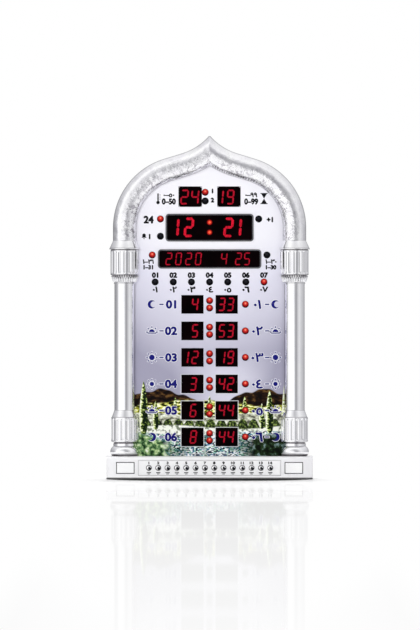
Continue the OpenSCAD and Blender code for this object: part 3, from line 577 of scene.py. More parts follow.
def archLine():  # the middle line of the right half, from the capital to past the tip
    half = archPlan["tube"] / 2
    centre = (archPlan["halfWidth"] - archPlan["shoulder"], caseSizes["springZ"])
    turn = math.radians(archPlan["turn"])
    outward = (math.cos(turn), math.sin(turn))
    along = (-math.sin(turn), math.cos(turn))
    radius = archPlan["shoulder"] - half
    link, leg, step = archPlan["link"], archPlan["leg"], archPlan["step"]
    points = []

    def run(length, place, more=0):
        count = int(length / step) + more
        points.extend(place(i / count) for i in range(count))

    run(leg, lambda t: (centre[0] + radius, centre[1] - leg * (1 - t)))
    run(radius * turn, lambda t: onArc(centre, radius, turn * t))
    start = onArc(centre, radius, turn)
    run(link, lambda t: (start[0] + link * t * along[0], start[1] + link * t * along[1]))
    reach = archPlan["shoulder"] + archPlan["reverse"]
    pivot = [c + reach * o + link * a for c, o, a in zip(centre, outward, along)]
    wide = archPlan["reverse"] + half
    back = math.radians(archPlan["reverseTurn"])
    run(wide * back, lambda t: onArc(pivot, wide, math.pi + turn - back * t), 1)
    return points


def lineObject(name, points, closed=False, across=None):
    mesh = bpy.data.meshes.new(name)
    count = len(points)
    edges = [(i, i + 1) for i in range(count - 1)] + ([(count - 1, 0)] if closed else [])
    mesh.from_pydata([(p[0] * mm, p[1] * mm, 0) for p in points], edges, [])
    if across:
        mesh.attributes.new("across", "FLOAT", "POINT").data.foreach_set("value", across)
    return placeMesh(name, mesh)


def closeTree(tree, shape, finish, made):
    real = addNode(tree, "GeometryNodeRealizeInstances", {"Geometry": shape})
    plug(addNode(tree, "GeometryNodeSetMaterial", {"Geometry": real, "Material": finish}), made[0])
    return tree


def sweepTree():
    tree, (line, profile, dentDepth, dentSize, seed, finish), made = newGroup("sweptMoulding", {
        "Line": "Geometry", "Section": "Object", "Dent depth": 0.0, "Dent size": 1.0, "Seed": 0.0,
        "Finish": "Material",
    }, {"Moulding": "Geometry"}, "GeometryNodeTree")
    path = addNode(tree, "GeometryNodeMeshToCurve", {"Mesh": line})
    path = addNode(tree, "GeometryNodeSetCurveNormal", {"Curve": path}, mode="Z_UP")
    section = out(addNode(tree, "GeometryNodeObjectInfo", {"Object": profile}), "Geometry")
    section = addNode(tree, "GeometryNodeMeshToCurve", {"Mesh": section})
    swept = addNode(tree, "GeometryNodeCurveToMesh", {
        "Curve": path, "Profile Curve": section, "Fill Caps": True})
    position = addNode(tree, "GeometryNodeInputPosition")
    noise = out(addNode(tree, "ShaderNodeTexNoise", {
        "Vector": position, "W": seed, "Scale": 1.0 / dentSize, "Detail": 2.0}, noise_dimensions="4D"))
    across = out(addNode(tree, "GeometryNodeInputNamedAttribute", {"Name": "across"}, data_type="FLOAT"))
    hump = most(calc("SINE", across * math.pi), 0.0)
    depth = spread(noise, 0.35, 0.65, 0, -1) * dentDepth * hump
    normal = addNode(tree, "GeometryNodeInputNormal")
    push = addNode(tree, "ShaderNodeVectorMath", {0: normal, "Scale": depth}, operation="SCALE")
    dented = addNode(tree, "GeometryNodeSetPosition", {"Geometry": swept, "Offset": push})
    return closeTree(tree, dented, finish, made)


def applyTree(carrier, tree, values):
    modifier = carrier.modifiers.new("build", "NODES")
    modifier.node_group = tree
    sockets = {item.name: item.identifier for item in tree.interface.items_tree if item.in_out == "INPUT"}
    for name, value in values.items():
        modifier[sockets[name]] = value
    bpy.context.view_layer.update()
    evaluated = carrier.evaluated_get(bpy.context.evaluated_depsgraph_get())
    mesh = bpy.data.meshes.new_from_object(evaluated)
    carrier.modifiers.remove(modifier)
    return mesh


def buildArch():
    outer = archPlan["tube"] / 2
    inner = outer - archPlan["wall"]
    many, few = archPlan["outerSteps"], archPlan["innerSteps"]
    section = [onArc((0, 0), outer, -math.pi * i / many) for i in range(many + 1)]
    section += [onArc((0, 0), -inner, math.pi * i / few) for i in range(few + 1)]
    across = [i / many for i in range(many + 1)] + [0.0] * (few + 1)
    line = lineObject("archLine", archLine())
    profile = lineObject("archSection", section, True, across)
    mesh = applyTree(line, sweepTree(), {
        "Section": profile, "Dent depth": archPlan["dent"] * mm, "Dent size": archPlan["dentSize"] * mm,
        "Seed": archPlan["seed"], "Finish": archSilver})
    bpy.data.objects.remove(line)
    bpy.data.objects.remove(profile)
    bm = bmesh.new()
    bm.from_mesh(mesh)

    def everything():
        return bm.verts[:] + bm.edges[:] + bm.faces[:]

    def only(items, kind):
        return [item for item in items if isinstance(item, kind)]

    # stands the sweep up: its height was drawn along y, and its crown along z
    bm.transform(Matrix.Translation((0, caseSizes["seamY"] * mm, 0)) @ Matrix.Rotation(math.pi / 2, 4, "X"))
    # cuts it at the middle and mirrors it there, so the tip has a sharp mitre
    bmesh.ops.bisect_plane(
        bm, geom=everything(), plane_co=(0, 0, 0), plane_no=(1, 0, 0), clear_inner=True, dist=1e-7)
    copied = bmesh.ops.duplicate(bm, geom=everything())["geom"]
    bmesh.ops.scale(bm, vec=(-1, 1, 1), verts=only(copied, bmesh.types.BMVert))
    bmesh.ops.reverse_faces(bm, faces=only(copied, bmesh.types.BMFace))
    bmesh.ops.remove_doubles(bm, verts=bm.verts, dist=1e-6)
    cut = bmesh.ops.bisect_plane(
        bm, geom=everything(), plane_co=(0, 0, archPlan["top"] * mm), plane_no=(0, 0, 1),
        clear_outer=True, dist=1e-7)["geom_cut"]
    bmesh.ops.holes_fill(bm, edges=only(cut, bmesh.types.BMEdge))
    piece = placeMesh("dressed_arch", meshFrom("dressed_arch", bm), archSilver, 35)
    return onCase(piece, "plated_silver", "arch_moulding")


arch = buildArch()
print("arch swept,", len(arch.data.polygons), "faces")


columnPlan = {"bore": 8.8, "around": 120, "longest": 0.9}
# fluteDark is the painted shade a flute takes for each millimetre of its depth
drumPlan = {"fluteWide": 3.3, "fluteDeep": 1.0, "fluteDark": 0.12, "margin": 1.8}
torusPlan = {
    "middle": (9.3, 5.2), "radius": 7.5, "from": -46, "sweep": 108, "steps": 24, "top": 11.6, "darkSteps": 6,
}
footPlan = {"z": 26.3, "flutes": 16, "drumFrom": 16.4, "drumTo": 45.4, "drumR": 15.7, **drumPlan}
capitalPlan = {"z": 227.242, "flutes": 18, "drumFrom": 10.4, "drumTo": 40.4, "drumR": 16.6, **drumPlan}


# Profiles are radius, height and how much painted shade lies there, in grooves and under overhangs
def footProfile():
    torus = []
    for i in range(torusPlan["steps"] + 1):
        angle = math.radians(torusPlan["from"] + i * torusPlan["sweep"] / torusPlan["steps"])
        radius, height = onArc(torusPlan["middle"], torusPlan["radius"], angle)
        # painted shade on the torus's underside
        dark = 0.85 if i < torusPlan["darkSteps"] else 0.0
        torus.append((radius, max(0.0, min(torusPlan["top"], height)), dark))
    torus[-1] = (*torus[-1][:2], 0.6)
    ring = [(13.0, 11.6, 0.7), (13.3, 11.9, 0.0), (13.3, 14.6, 0.0), (12.7, 14.9, 0.7), (12.7, 15.6, 0.8),
            (13.0, 15.9, 0.8)]
    drum = [(14.9, 16.4, 0.6), (15.7, 17.1, 0.1), (15.7, 18.0, 0.0), (15.7, 44.4, 0.0), (15.7, 45.0, 0.4),
            (15.3, 45.4, 0.5)]
    cone = [(15.0, 45.6, 0.3), (14.6, 46.6, 0.0), (12.3, 53.0, 0.0), (12.0, 53.8, 0.55)]
    return torus + ring + drum + cone


def capitalProfile():
    echinus = [(12.0, 0.0, 0.8), (12.6, 0.3, 0.3), (12.6, 1.6, 0.0), (12.2, 1.9, 0.6), (12.4, 2.3, 0.3),
               (12.8, 4.0, 0.1), (13.3, 6.4, 0.15), (14.2, 9.2, 0.4), (14.5, 10.0, 0.65)]
    drum = [(15.9, 10.4, 0.9), (16.6, 10.9, 0.5), (16.6, 11.8, 0.0), (16.6, 38.6, 0.0), (16.6, 39.4, 0.5),
            (16.1, 39.7, 0.9), (16.1, 40.2, 0.9)]
    flare = [(17.7, 40.4, 0.6), (17.9, 40.7, 0.1), (17.9, 41.5, 0.1), (17.6, 41.8, 0.5), (17.2, 42.7, 0.1),
             (13.8, 50.2, 0.0), (13.7, 50.8, 0.35)]
    return echinus + drum + flare


def refine(profile):
    fine = [profile[0]]
    for a, b in zip(profile, profile[1:]):
        steps = max(1, math.ceil(math.dist(a[:2], b[:2]) / columnPlan["longest"]))
        fine += [tuple(u + (v - u) * i / steps for u, v in zip(a, b)) for i in range(1, steps + 1)]
    return fine


def fluteDepth(plan, angle, height):
    if not plan["drumFrom"] < height < plan["drumTo"]:
        return 0.0
    spacing = 2 * math.pi / plan["flutes"]
    aside = ((angle / spacing) % 1.0 - 0.5) * spacing * plan["drumR"]
    half = plan["fluteWide"] / 2
    low = plan["drumFrom"] + plan["margin"] + half
    high = plan["drumTo"] - plan["margin"] - half
    beyond = max(low - height, height - high, 0.0)
    share = 1 - (aside * aside + beyond * beyond) / (half * half)
    return plan["fluteDeep"] * math.sqrt(share) if share > 0 else 0.0


def roundColumn(side, radius, angle, z):  # a point round the front of a column, from its left
    return ((side * caseSizes["columnX"] - radius * math.cos(angle)) * mm,
            (caseSizes["seamY"] - radius * math.sin(angle)) * mm, z * mm)


def turnedShell(name, side, plan, profile, material):
    bm = bmesh.new()
    groove = bm.verts.layers.float.new("groove")
    around = columnPlan["around"]
    outer, inner = [], []
    for radius, height, dark in refine(profile):
        ring, core = [], []
        for i in range(around + 1):
            angle = math.pi * i / around
            deep = fluteDepth(plan, angle, height)
            ring.append(bm.verts.new(roundColumn(side, radius - deep, angle, plan["z"] + height)))
            # painted shade: the profile's, or more the deeper a flute runs
            ring[-1][groove] = max(dark, plan["fluteDark"] * deep)
            core.append(bm.verts.new(roundColumn(side, columnPlan["bore"], angle, plan["z"] + height)))
        outer.append(ring)
        inner.append(core)
    last = len(outer) - 1
    for j in range(last):
        for i in range(around):
            bm.faces.new((outer[j][i], outer[j][i + 1], outer[j + 1][i + 1], outer[j + 1][i]))
            bm.faces.new((inner[j][i], inner[j + 1][i], inner[j + 1][i + 1], inner[j][i + 1]))
        for i in (0, around):
            bm.faces.new((outer[j][i], outer[j + 1][i], inner[j + 1][i], inner[j][i]))
    for j in (0, last):
        for i in range(around):
            bm.faces.new((outer[j][i], inner[j][i], inner[j][i + 1], outer[j][i + 1]))
    return placeMesh(name, meshFrom(name, bm), material, 32)


for sideName, side in bothSides:
    foot = turnedShell(sideName + "_turned_foot", side, footPlan, footProfile(), columnSilver)
    onCase(foot, "plated_silver", sideName + "_column_foot")
    capital = turnedShell(sideName + "_turned_capital", side, capitalPlan, capitalProfile(), columnSilver)
    onCase(capital, "plated_silver", sideName + "_column_capital")
coat(columnFinish("shaftSilver", True), "left_column_shaft", "right_column_shaft")
print("columns turned")


def repeatTree():
    tree, (points, shape, overall, finish), made = newGroup("setOnPoints", {
        "Points": "Geometry", "Shape": "Object", "Size": 0.0, "Finish": "Material",
    }, {"Copies": "Geometry"}, "GeometryNodeTree")
    shape = out(addNode(tree, "GeometryNodeObjectInfo", {"Object": shape}), "Geometry")
    turn, size = (addNode(tree, "GeometryNodeInputNamedAttribute", {"Name": name}, data_type="FLOAT_VECTOR")
                  for name in ("turn", "size"))
    size = addNode(tree, "ShaderNodeVectorMath", {0: size, "Scale": overall}, operation="SCALE")
    copies = addNode(tree, "GeometryNodeInstanceOnPoints", {
        "Points": points, "Instance": shape, "Rotation": turn, "Scale": size})
    return closeTree(tree, copies, finish, made)


setOnPoints = repeatTree()


def repeatShape(name, shapeMesh, spots, material, sharp=30):  # a spot is a place, a turn and a size
    points = bpy.data.meshes.new(name + "Points")
    points.from_pydata([place for place, turn, size in spots], [], [])
    for label, index in (("turn", 1), ("size", 2)):
        values = points.attributes.new(label, "FLOAT_VECTOR", "POINT")
        values.data.foreach_set("vector", [v for spot in spots for v in spot[index]])
    carrier = placeMesh(name + "Points", points)
    shape = bpy.data.objects.new(name + "Shape", shapeMesh)
    sceneObjects.link(shape)
    mesh = applyTree(carrier, setOnPoints, {"Shape": shape, "Size": 1.0, "Finish": material})
    bpy.data.objects.remove(carrier)
    bpy.data.objects.remove(shape)
    for label in ("turn", "size"):
        if label in mesh.attributes:
            mesh.attributes.remove(mesh.attributes[label])
    return placeMesh(name, mesh, material, sharp)


leafPlan = {
    "count": 15, "radius": 13.15, "low": 2.4, "tall": 7.6, "wide": 2.5, "proud": 0.75, "lean": 15, "rows": 8,
    "section": ((-1, 0.4), (-0.85, -0.5), (-0.45, -0.85), (-0.12, -0.6), (0, -1.0), (0.12, -0.6),
                (0.45, -0.85), (0.85, -0.5), (1, 0.4)),
    "bright": (0.93, 0.93, 0.95), "dark": (0.1, 0.085, 0.1), "shade": (232.5, 237.6),
}


def buildLeaf():  # one unit high, with a rib down its middle
    bm = bmesh.new()
    rows = []
    for k in range(leafPlan["rows"] + 1):
        t = k / leafPlan["rows"]
        half = 0.5 * math.sin(math.pi * min(1.0, 0.16 + 0.84 * t)) ** 0.7 if t < 1 else 0.03
        lift = 1.0 + 0.5 * t * t
        rows.append([bm.verts.new((u * half, v * lift, t)) for u, v in leafPlan["section"]])
    for lower, upper in zip(rows, rows[1:]):
        bridge(bm, lower, upper)
    bm.faces.new(list(reversed(rows[0])))
    bm.faces.new(rows[-1])
    return meshFrom("leaf", bm)


def leafFinish():
    material, shader, place = startMaterial("leafSilver", Metallic=1.0)
    height, wear = useGroup(hammerGroup, place, 1.6, 3.0, 0.6)
    # painted shade under the drum, darkest at the leaves' tops, with wear mixed in
    dark = spread(splitMm(place)[2], *leafPlan["shade"], 0.0, 0.55) - 0.12
    dark = calc("ADD", wear * 0.24, dark, clamp=True)
    tone = blend(dark, leafPlan["bright"], leafPlan["dark"])
    dress(shader, tone, wear, (0.14, 0.26), height, 0.05)
    return material


leafMesh = buildLeaf()
leafSilver = leafFinish()
for sideName, side in bothSides:
    spots = []
    for i in range(leafPlan["count"]):
        angle = (i - (leafPlan["count"] - 1) / 2) * math.pi / leafPlan["count"]
        spots.append((
            roundColumn(side, leafPlan["radius"], angle + math.pi / 2, capitalPlan["z"] + leafPlan["low"]),
            (math.radians(leafPlan["lean"]), 0, angle),
            (leafPlan["wide"] * mm, leafPlan["proud"] * mm, leafPlan["tall"] * mm)))
    onCase(repeatShape(sideName + "_carved_leaves", leafMesh, spots, leafSilver), "plated_silver")
print("leaves carved")


segmentPlan = {
    "proud": 0.03, "gap": 0.25, "bevel": 0.14, "taper": (0.98, 0.94),
    "lit": {"0": "abcdef", "1": "bc", "2": "abged", "3": "abgcd", "4": "fgbc", "5": "afgcd", "6": "afgedc",
            "8": "abcdefg", "9": "abcdfg"},
    "bright": ((0.52, 0.006, 0.022), (0.26, 0.004, 0.012), 0.44),
    "dim": ((0.36, 0.005, 0.018), (0.19, 0.003, 0.011), 0.38),
}
# Figures: their height, width, stroke, lean in degrees and middle height, then each digit and its x
figures = {
    "time": {"tall": 23.0, "wide": 11.4, "stroke": 2.95, "lean": 4, "z": 293.4,
             "at": [("1", -41.2), ("2", -24.1), ("2", 22.2), ("1", 31.8)]},
    "temperature": {"tall": 17.4, "wide": 9.3, "stroke": 1.9, "lean": 5, "z": 328.8,
                    "at": [("2", -29.2), ("4", -17.0)]},
    "countdown": {"tall": 17.4, "wide": 8.7, "stroke": 1.9, "lean": 5, "z": 328.8,
                  "at": [("1", 12.0), ("9", 24.4)]},
    "date": {"tall": 14.8, "wide": 7.2, "stroke": 1.35, "lean": 6, "z": 256.6,
             "at": [("2", -47.5), ("0", -36.2), ("2", -24.4), ("0", -13.1), ("4", 16.9), ("2", 33.8),
                    ("5", 43.7)]},
}
rowPlan = {
    "look": {"tall": 15.8, "wide": 7.8, "stroke": 1.75, "lean": 7},
    "figures": [("4", "33"), ("5", "53"), ("12", "19"), ("3", "42"), ("6", "44"), ("8", "44")],
    "hourX": [-17.0] * 3 + [-19.0] * 3, "hourPitch": 11.2, "minuteX": (14.4, 24.5), "lampX": 41.8,
    "colonHalf": 4.3,
}


def buildSegmentBar():
    bm = bmesh.new()
    flat = 0.5 - segmentPlan["bevel"]
    outline = [(-0.5, 0), (-flat, -0.5), (flat, -0.5), (0.5, 0), (flat, 0.5), (-flat, 0.5)]
    along, up = segmentPlan["taper"]
    back = [bm.verts.new((x, 0, z)) for x, z in outline]
    front = [bm.verts.new((x * along, -1, z * up)) for x, z in outline]
    bm.faces.new(front)
    bm.faces.new(list(reversed(back)))
    bridge(bm, back, front)
    return meshFrom("segmentBar", bm)


def digitSpots(digit, x, z, look):
    stroke, lean = look["stroke"], math.tan(math.radians(look["lean"]))
    up = (look["tall"] - stroke) / 2
    across = (look["wide"] - stroke) / 2
    level = {"a": up, "g": 0.0, "d": -up}
    post = {"b": (across, up / 2), "c": (across, -up / 2), "f": (-across, up / 2), "e": (-across, -up / 2)}
    spots = []
    for name in segmentPlan["lit"][digit]:
        if name in level:
            (aside, rise), length, angle = (0.0, level[name]), 2 * across, 0.0
        else:
            (aside, rise), length, angle = post[name], up, math.radians(90 - look["lean"])
        spots.append((
            ((x + aside + rise * lean) * mm, (caseSizes["seamY"] - 0.001) * mm, (z + rise) * mm),
            (0, -angle, 0), ((length - segmentPlan["gap"]) * mm, segmentPlan["proud"] * mm, stroke * mm)))
    return spots


def glowFinish(name, colour, edge, strength):
    material, shader, place = startMaterial(
        name, Roughness=0.4, Specular_IOR_Level=0.03, Emission_Strength=strength)
    fine, patches = useGroup(grainGroup, place, 1.6, 7.0)
    tone = blend(spread(fine, 0.4, 0.65), colour, edge)
    plug(tone, shader.inputs["Base Color"])
    plug(tone, shader.inputs["Emission Color"])
    return material


def windowSpots(*names):
    spots = []
    for look in (figures[name] for name in names):
        for digit, x in look["at"]:
            spots += digitSpots(digit, x, look["z"], look)
    return spots


def rowSpots():
    spots = []
    for (left, right), z, lastX in zip(rowPlan["figures"], rowZ, rowPlan["hourX"]):
        digits = [(digit, lastX - rowPlan["hourPitch"] * i) for i, digit in enumerate(reversed(left))]
        for digit, x in digits + list(zip(right, rowPlan["minuteX"])):
            spots += digitSpots(digit, x, z, rowPlan["look"])
    return spots


segmentRed = glowFinish("segmentRed", *segmentPlan["bright"])
segmentDim = glowFinish("segmentDim", *segmentPlan["dim"])
barMesh = buildSegmentBar()
dimSpots = windowSpots("temperature", "countdown", "date") + rowSpots()
for name, spots, finish in (
        ("time_segments", windowSpots("time"), segmentRed), ("row_segments", dimSpots, segmentDim)):
    onCase(repeatShape(name, barMesh, spots, finish), "lamp_red").visible_glossy = False
print("figures lit")


# The rim attribute runs from 0 at the painted highlight to 1 at the lens's edge; the colour ramps paint the
# lens light there and shaded towards its edge
lampPlan = {
    "radius": 4.1, "stem": 3.45, "proud": 1.3, "lip": 0.03, "depth": 7.6, "rings": 8, "sides": 28,
    "highlight": 0.3, "reach": 1.25,
    "red": [(0.06, 0.85, 0.26, 0.15), (0.24, 0.6, 0.045, 0.03), (0.5, 0.36, 0.01, 0.01),
            (0.74, 0.12, 0.003, 0.005), (0.92, 0.008, 0.0005, 0.001)],
    "orange": [(0.2, 0.85, 0.13, 0.05), (0.5, 0.6, 0.028, 0.014), (0.76, 0.26, 0.007, 0.006),
               (1.0, 0.03, 0.001, 0.002)],
    "dark": [(0.0, 0.02, 0.02, 0.026), (0.5, 0.004, 0.004, 0.006), (0.85, 0.001, 0.001, 0.0015),
             (1.0, 0.02, 0.02, 0.025)],
}


def lampRing(bm, layer, radius, y, z, rim):
    ring = []
    for i in range(lampPlan["sides"]):
        a = 2 * math.pi * i / lampPlan["sides"]
        ring.append(bm.verts.new((radius * math.cos(a) * mm, y * mm, (z + radius * math.sin(a)) * mm)))
        ring[-1][layer] = rim(a)
    return ring


def buildLampMesh():
    bm = bmesh.new()
    layer = bm.verts.layers.float.new("rim")
    radius, proud, lip, stem = (lampPlan[key] for key in ("radius", "proud", "lip", "stem"))
    raised, reach, sides = lampPlan["highlight"], lampPlan["reach"], lampPlan["sides"]
    crown = bm.verts.new((0, -proud * mm, 0))
    crown[layer] = raised / reach
    turns = [math.pi / 2 * k / lampPlan["rings"] for k in range(1, lampPlan["rings"] + 1)]
    stops = [(math.sin(t), radius * math.sin(t), -proud * math.cos(t) - lip) for t in turns]
    stops += [(1.0, stem, -lip / 2), (1.0, stem, lampPlan["depth"])]

    def lensRim(share):
        def rim(a):
            off = math.hypot(share * math.cos(a), share * math.sin(a) - raised) / reach
            return max(min(1.0, off), share ** 5)
        return rim

    rows = [lampRing(bm, layer, wide, depth, 0.0, lensRim(share)) for share, wide, depth in stops]
    for i in range(sides):
        bm.faces.new((crown, rows[0][i], rows[0][(i + 1) % sides]))
    for lower, upper in zip(rows, rows[1:]):
        bridge(bm, lower, upper)
    bm.faces.new(rows[-1])
    return meshFrom("lamp", bm)


def lampFinish(name, stops, strength, rough):
    material, shader, place = startMaterial(name, Roughness=rough, Specular_IOR_Level=0.04)
    cloud = useGroup(grainGroup, place, 0.9, 4.0)[1]
    # painted highlight and shade: the colour follows the rim attribute
    tone = ramp(attribute(place.tree, "rim") + spread(cloud, 0, 1, -0.08, 0.08), stops)
    plug(tone, shader.inputs["Base Color"])
    if strength:
        plug(tone, shader.inputs["Emission Color"])
        shader.inputs["Emission Strength"].default_value = strength
    return material


# Lamps: x, z and whether they are lit
lampSpots = [(-5.1, 334.351, True), (-5.1, 324.151, False), (-57.4, 303.151, True), (-57.4, 282.951, False),
             (57.4, 303.151, False), (-67.0, 261.051, True), (67.0, 261.051, False)]
lampSpots += [(caseSizes["dayStep"] * i, caseSizes["weekdayZ"], i == 3) for i in range(-3, 4)]
lampSpots += [(rowPlan["lampX"], z, True) for z in rowZ]
lampSpots += [(0.0, z + s * rowPlan["colonHalf"], True) for z in rowZ for s in (-1, 1)]
lampMesh = buildLampMesh()


def lampSet(name, lit, material):
    y = caseSizes["seamY"]
    spots = [((x * mm, y * mm, z * mm), (0, 0, 0), (1, 1, 1)) for x, z, on in lampSpots if on == lit]
    return onCase(repeatShape(name, lampMesh, spots, material, 40), "lamp_red")


litLamps = lampSet("lit_lamps", True, lampFinish("litRed", lampPlan["red"], 0.22, 0.22))
lampSet("dark_lamps", False, lampFinish("darkLamp", lampPlan["dark"], 0, 0.24))
litLamps.visible_glossy = False
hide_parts("status_leds", "weekday_leds", "row_leds", "colon_leds")

colonPlan = {
    "radius": 3.3, "shares": (0.25, 0.5, 0.75, 1.0), "above": 6.2, "below": 5.4, "proud": 0.04, "deep": 0.2,
}


def colonDots():
    bm = bmesh.new()
    layer = bm.verts.layers.float.new("rim")
    front, behind = caseSizes["seamY"] - colonPlan["proud"], caseSizes["seamY"] + colonPlan["deep"]
    for z in (caseSizes["timeZ"] + colonPlan["above"], caseSizes["timeZ"] - colonPlan["below"]):
        # the share sets the rim attribute, so the colour ramp paints the dots lighter in the middle and
        # shaded at the edge
        rows = [lampRing(bm, layer, colonPlan["radius"] * share, front, z, lambda a, share=share: share)
                for share in colonPlan["shares"]]
        rows.append(lampRing(bm, layer, colonPlan["radius"], behind, z, lambda a: 1.0))
        bm.faces.new(rows[0])
        for lower, upper in zip(rows, rows[1:]):
            bridge(bm, lower, upper)
        bm.faces.new(rows[-1])
    litOrange = lampFinish("litOrange", lampPlan["orange"], 0.3, 0.3)
    return placeMesh("time_colon", meshFrom("time_colon", bm), litOrange, 40)


onCase(colonDots(), "lamp_red")
print("lamps set")


# Printed marks: plain numbers and simple signs, in black or in navy with a white edge
markPlan = {"digitHigh": 0.687, "thick": 0.012, "lift": 0.02, "copies": 6, "copyStep": 0.0006}
easternDigits = str.maketrans("0123456789", "٠١٢٣٤٥٦٧٨٩")


def inkFinish(name, colour, shade):
    material, shader, place = startMaterial(name, Specular_IOR_Level=0.08)
    fine, patches = useGroup(grainGroup, place, 0.3, 3.0)
    dress(shader, patchy(fine, colour, shade), patches, (0.36, 0.46))
    return material


class Marks:
    def __init__(self, planeY):
        self.bm = bmesh.new()
        self.planeY = planeY

    def text(self, body, x, z, high, bold, wide=1.0):
        curve = bpy.data.curves.new("mark", "FONT")
        curve.body = body
        curve.resolution_u = 3
        curve.extrude = 0.5
        if "٦" in body and "٣" not in body:  # the six fills well only with an offset, the three without
            curve.offset = 0.015
        holder = bpy.data.objects.new("mark", curve)
        sceneObjects.link(holder)
        bpy.context.view_layer.update()
        flat = bpy.data.meshes.new_from_object(holder.evaluated_get(bpy.context.evaluated_depsgraph_get()))
        bpy.data.objects.remove(holder)
        xs = [v.co.x for v in flat.vertices]
        size = high / markPlan["digitHigh"] * mm
        flat.transform(Matrix.Translation((-(min(xs) + max(xs)) / 2, -markPlan["digitHigh"] / 2, 0)))
        standing = Matrix.Rotation(math.pi / 2, 4, "X")
        sized = Matrix.Diagonal((size * wide, size, markPlan["thick"] * mm, 1))
        # copies moved round a small circle thicken the strokes
        copies = markPlan["copies"]
        shifts = [(0.0, 0.0)] + [onArc((0.0, 0.0), bold, math.tau * i / copies) for i in range(copies)]
        for i, (u, v) in enumerate(shifts):
            mesh = flat.copy()
            depth = self.planeY + markPlan["copyStep"] * i
            mesh.transform(Matrix.Translation(((x + u) * mm, depth * mm, (z + v) * mm)) @ standing @ sized)
            self.bm.from_mesh(mesh)
            bpy.data.meshes.remove(mesh)
        bpy.data.meshes.remove(flat)

    def shape(self, outline):
        def layer(y):
            return [self.bm.verts.new((x * mm, y * mm, z * mm)) for x, z in outline]

        half = markPlan["thick"] / 2
        front, back = layer(self.planeY - half), layer(self.planeY + half)
        self.bm.faces.new(front)
        self.bm.faces.new(list(reversed(back)))
        bridge(self.bm, back, front)

    def disc(self, x, z, r, start=0.0, end=360.0):
        steps = 24
        count = steps if end - start >= 360 else steps + 1
        self.shape([onArc((x, z), r, math.radians(start + (end - start) * i / steps)) for i in range(count)])

    def bar(self, x, z, w, h, turn=0.0):
        c, k = math.cos(math.radians(turn)), math.sin(math.radians(turn))
        corners = ((-w / 2, -h / 2), (w / 2, -h / 2), (w / 2, h / 2), (-w / 2, h / 2))
        self.shape([(x + u * c - v * k, z + u * k + v * c) for u, v in corners])

    def crescent(self, x, z, r, way=1):
        def arc(size, shift, angles):
            spots = (onArc((shift, 0.0), size, math.radians(a)) for a in angles)
            return [(x + way * r * u, z + r * v) for u, v in spots]

        self.shape(arc(1.0, 0.0, range(40, 321, 20)) + arc(0.72, 0.42, range(300, 59, -20)))

    def sun(self, x, z, r, rays, last=8, grow=0.0):  # last 8 is a whole sun, and 4 a rising one
        self.disc(x, z, r + grow, 0, 45 * last)
        for i in range(last + (0 if last == 8 else 1)):
            ray = onArc((x, z), rays, math.radians(45 * i))
            self.bar(*ray, 2.0 + 2 * grow, 1.3 + 1.4 * grow, 45 * i)

    def done(self, name, material, slotName):
        return onCase(placeMesh(name, meshFrom(name, self.bm), material), slotName)


# Numbers: text, x, z, height, thickening and width. A pair gives its Eastern form and then its Western one.
panelNumbers = [
    ("1", 3.4, 335.8, 4.6, 0.62), ("2", 3.4, 325.2, 4.6, 0.62), ("24", -71.2, 302.4, 7.8, 0.72),
    ("1", -70.0, 282.6, 5.4, 0.55), ("+1", 70.4, 302.4, 5.4, 0.55),
]
panelPairs = [
    ("0–50", -47.6, (331.3, 5.0, 0.4, 1.12), (323.6, 6.2, 0.55, 0.88)),
    ("0–99", 48.6, (331.3, 5.0, 0.4, 1.12), (323.6, 6.2, 0.55, 0.88)),
    ("1–31", -71.6, (253.4, 4.8, 0.38, 1.15), (246.8, 4.4, 0.48, 1.02)),
    ("1–30", 71.8, (253.4, 4.8, 0.38, 1.15), (246.8, 4.4, 0.48, 1.02)),
]
panelPairs += [("%02d" % (i + 4), caseSizes["dayStep"] * i, (220.8, 6.2, 0.5, 1.22), (237.6, 5.4, 0.6, 1.08))
               for i in range(-3, 4)]
thermometerX, hourglassX, bellX = -60.2, 63.6, -76.6


def blackMarks():
    marks = Marks(caseSizes["seamY"] - markPlan["lift"])
    for number in panelNumbers:
        marks.text(*number)
    for body, x, eastern, western in panelPairs:
        marks.text(body.translate(easternDigits), x, *eastern)
        marks.text(body, x, *western)
    marks.disc(thermometerX, 322.4, 2.0)
    marks.bar(thermometerX, 328.2, 1.7, 9.4)
    for z in (326.4, 328.8, 331.2):
        marks.bar(thermometerX + 2.3, z, 1.6, 0.6)
    for way in (1, -1):  # the two halves of the hourglass
        x, z = hourglassX, 327.0
        marks.shape([(x, z), (x + 3.3, z + way * 5.6), (x - 3.3, z + way * 5.6)][::way])
        marks.bar(x, z + way * 6.0, 8.4, 0.9)
    marks.disc(bellX, 284.2, 2.0, 0, 180)
    marks.bar(bellX, 283.2, 4.0, 2.2)
    marks.bar(bellX, 281.7, 5.4, 0.9)
    marks.disc(bellX, 280.7, 0.9, 180, 360)
    return marks.done("panel_marks", inkBlack, "printed_panel")


def rowMarks(name, material, grow, lift):
    marks = Marks(caseSizes["seamY"] - lift)
    for i, z in enumerate(rowZ):
        number = "0%d" % (i + 1)
        marks.text(number, -45.0, z, 8.8, 0.7 + grow, 1.1)
        marks.text(number.translate(easternDigits), 55.8, z, 9.8, 0.6 + grow, 1.2)
        for x in (-56.2, 67.2):
            marks.bar(x, z, 5.0 + 2 * grow, 1.5 + 2 * grow)
        for x in (-67.4, 77.0):
            if i in (0, 5):
                marks.crescent(x, z, 5.0 + grow, 1 if i == 0 else -1)
            elif i in (1, 4):
                marks.bar(x, z - 2.6, 10.4 + 2 * grow, 1.2 + 2 * grow)
                marks.sun(x, z - 1.4, 3.4, 5.8, 4, grow)
            else:
                marks.sun(x, z, *((3.3, 5.6) if i == 2 else (2.6, 4.9)), 8, grow)
    return marks.done(name, material, "printed_panel")


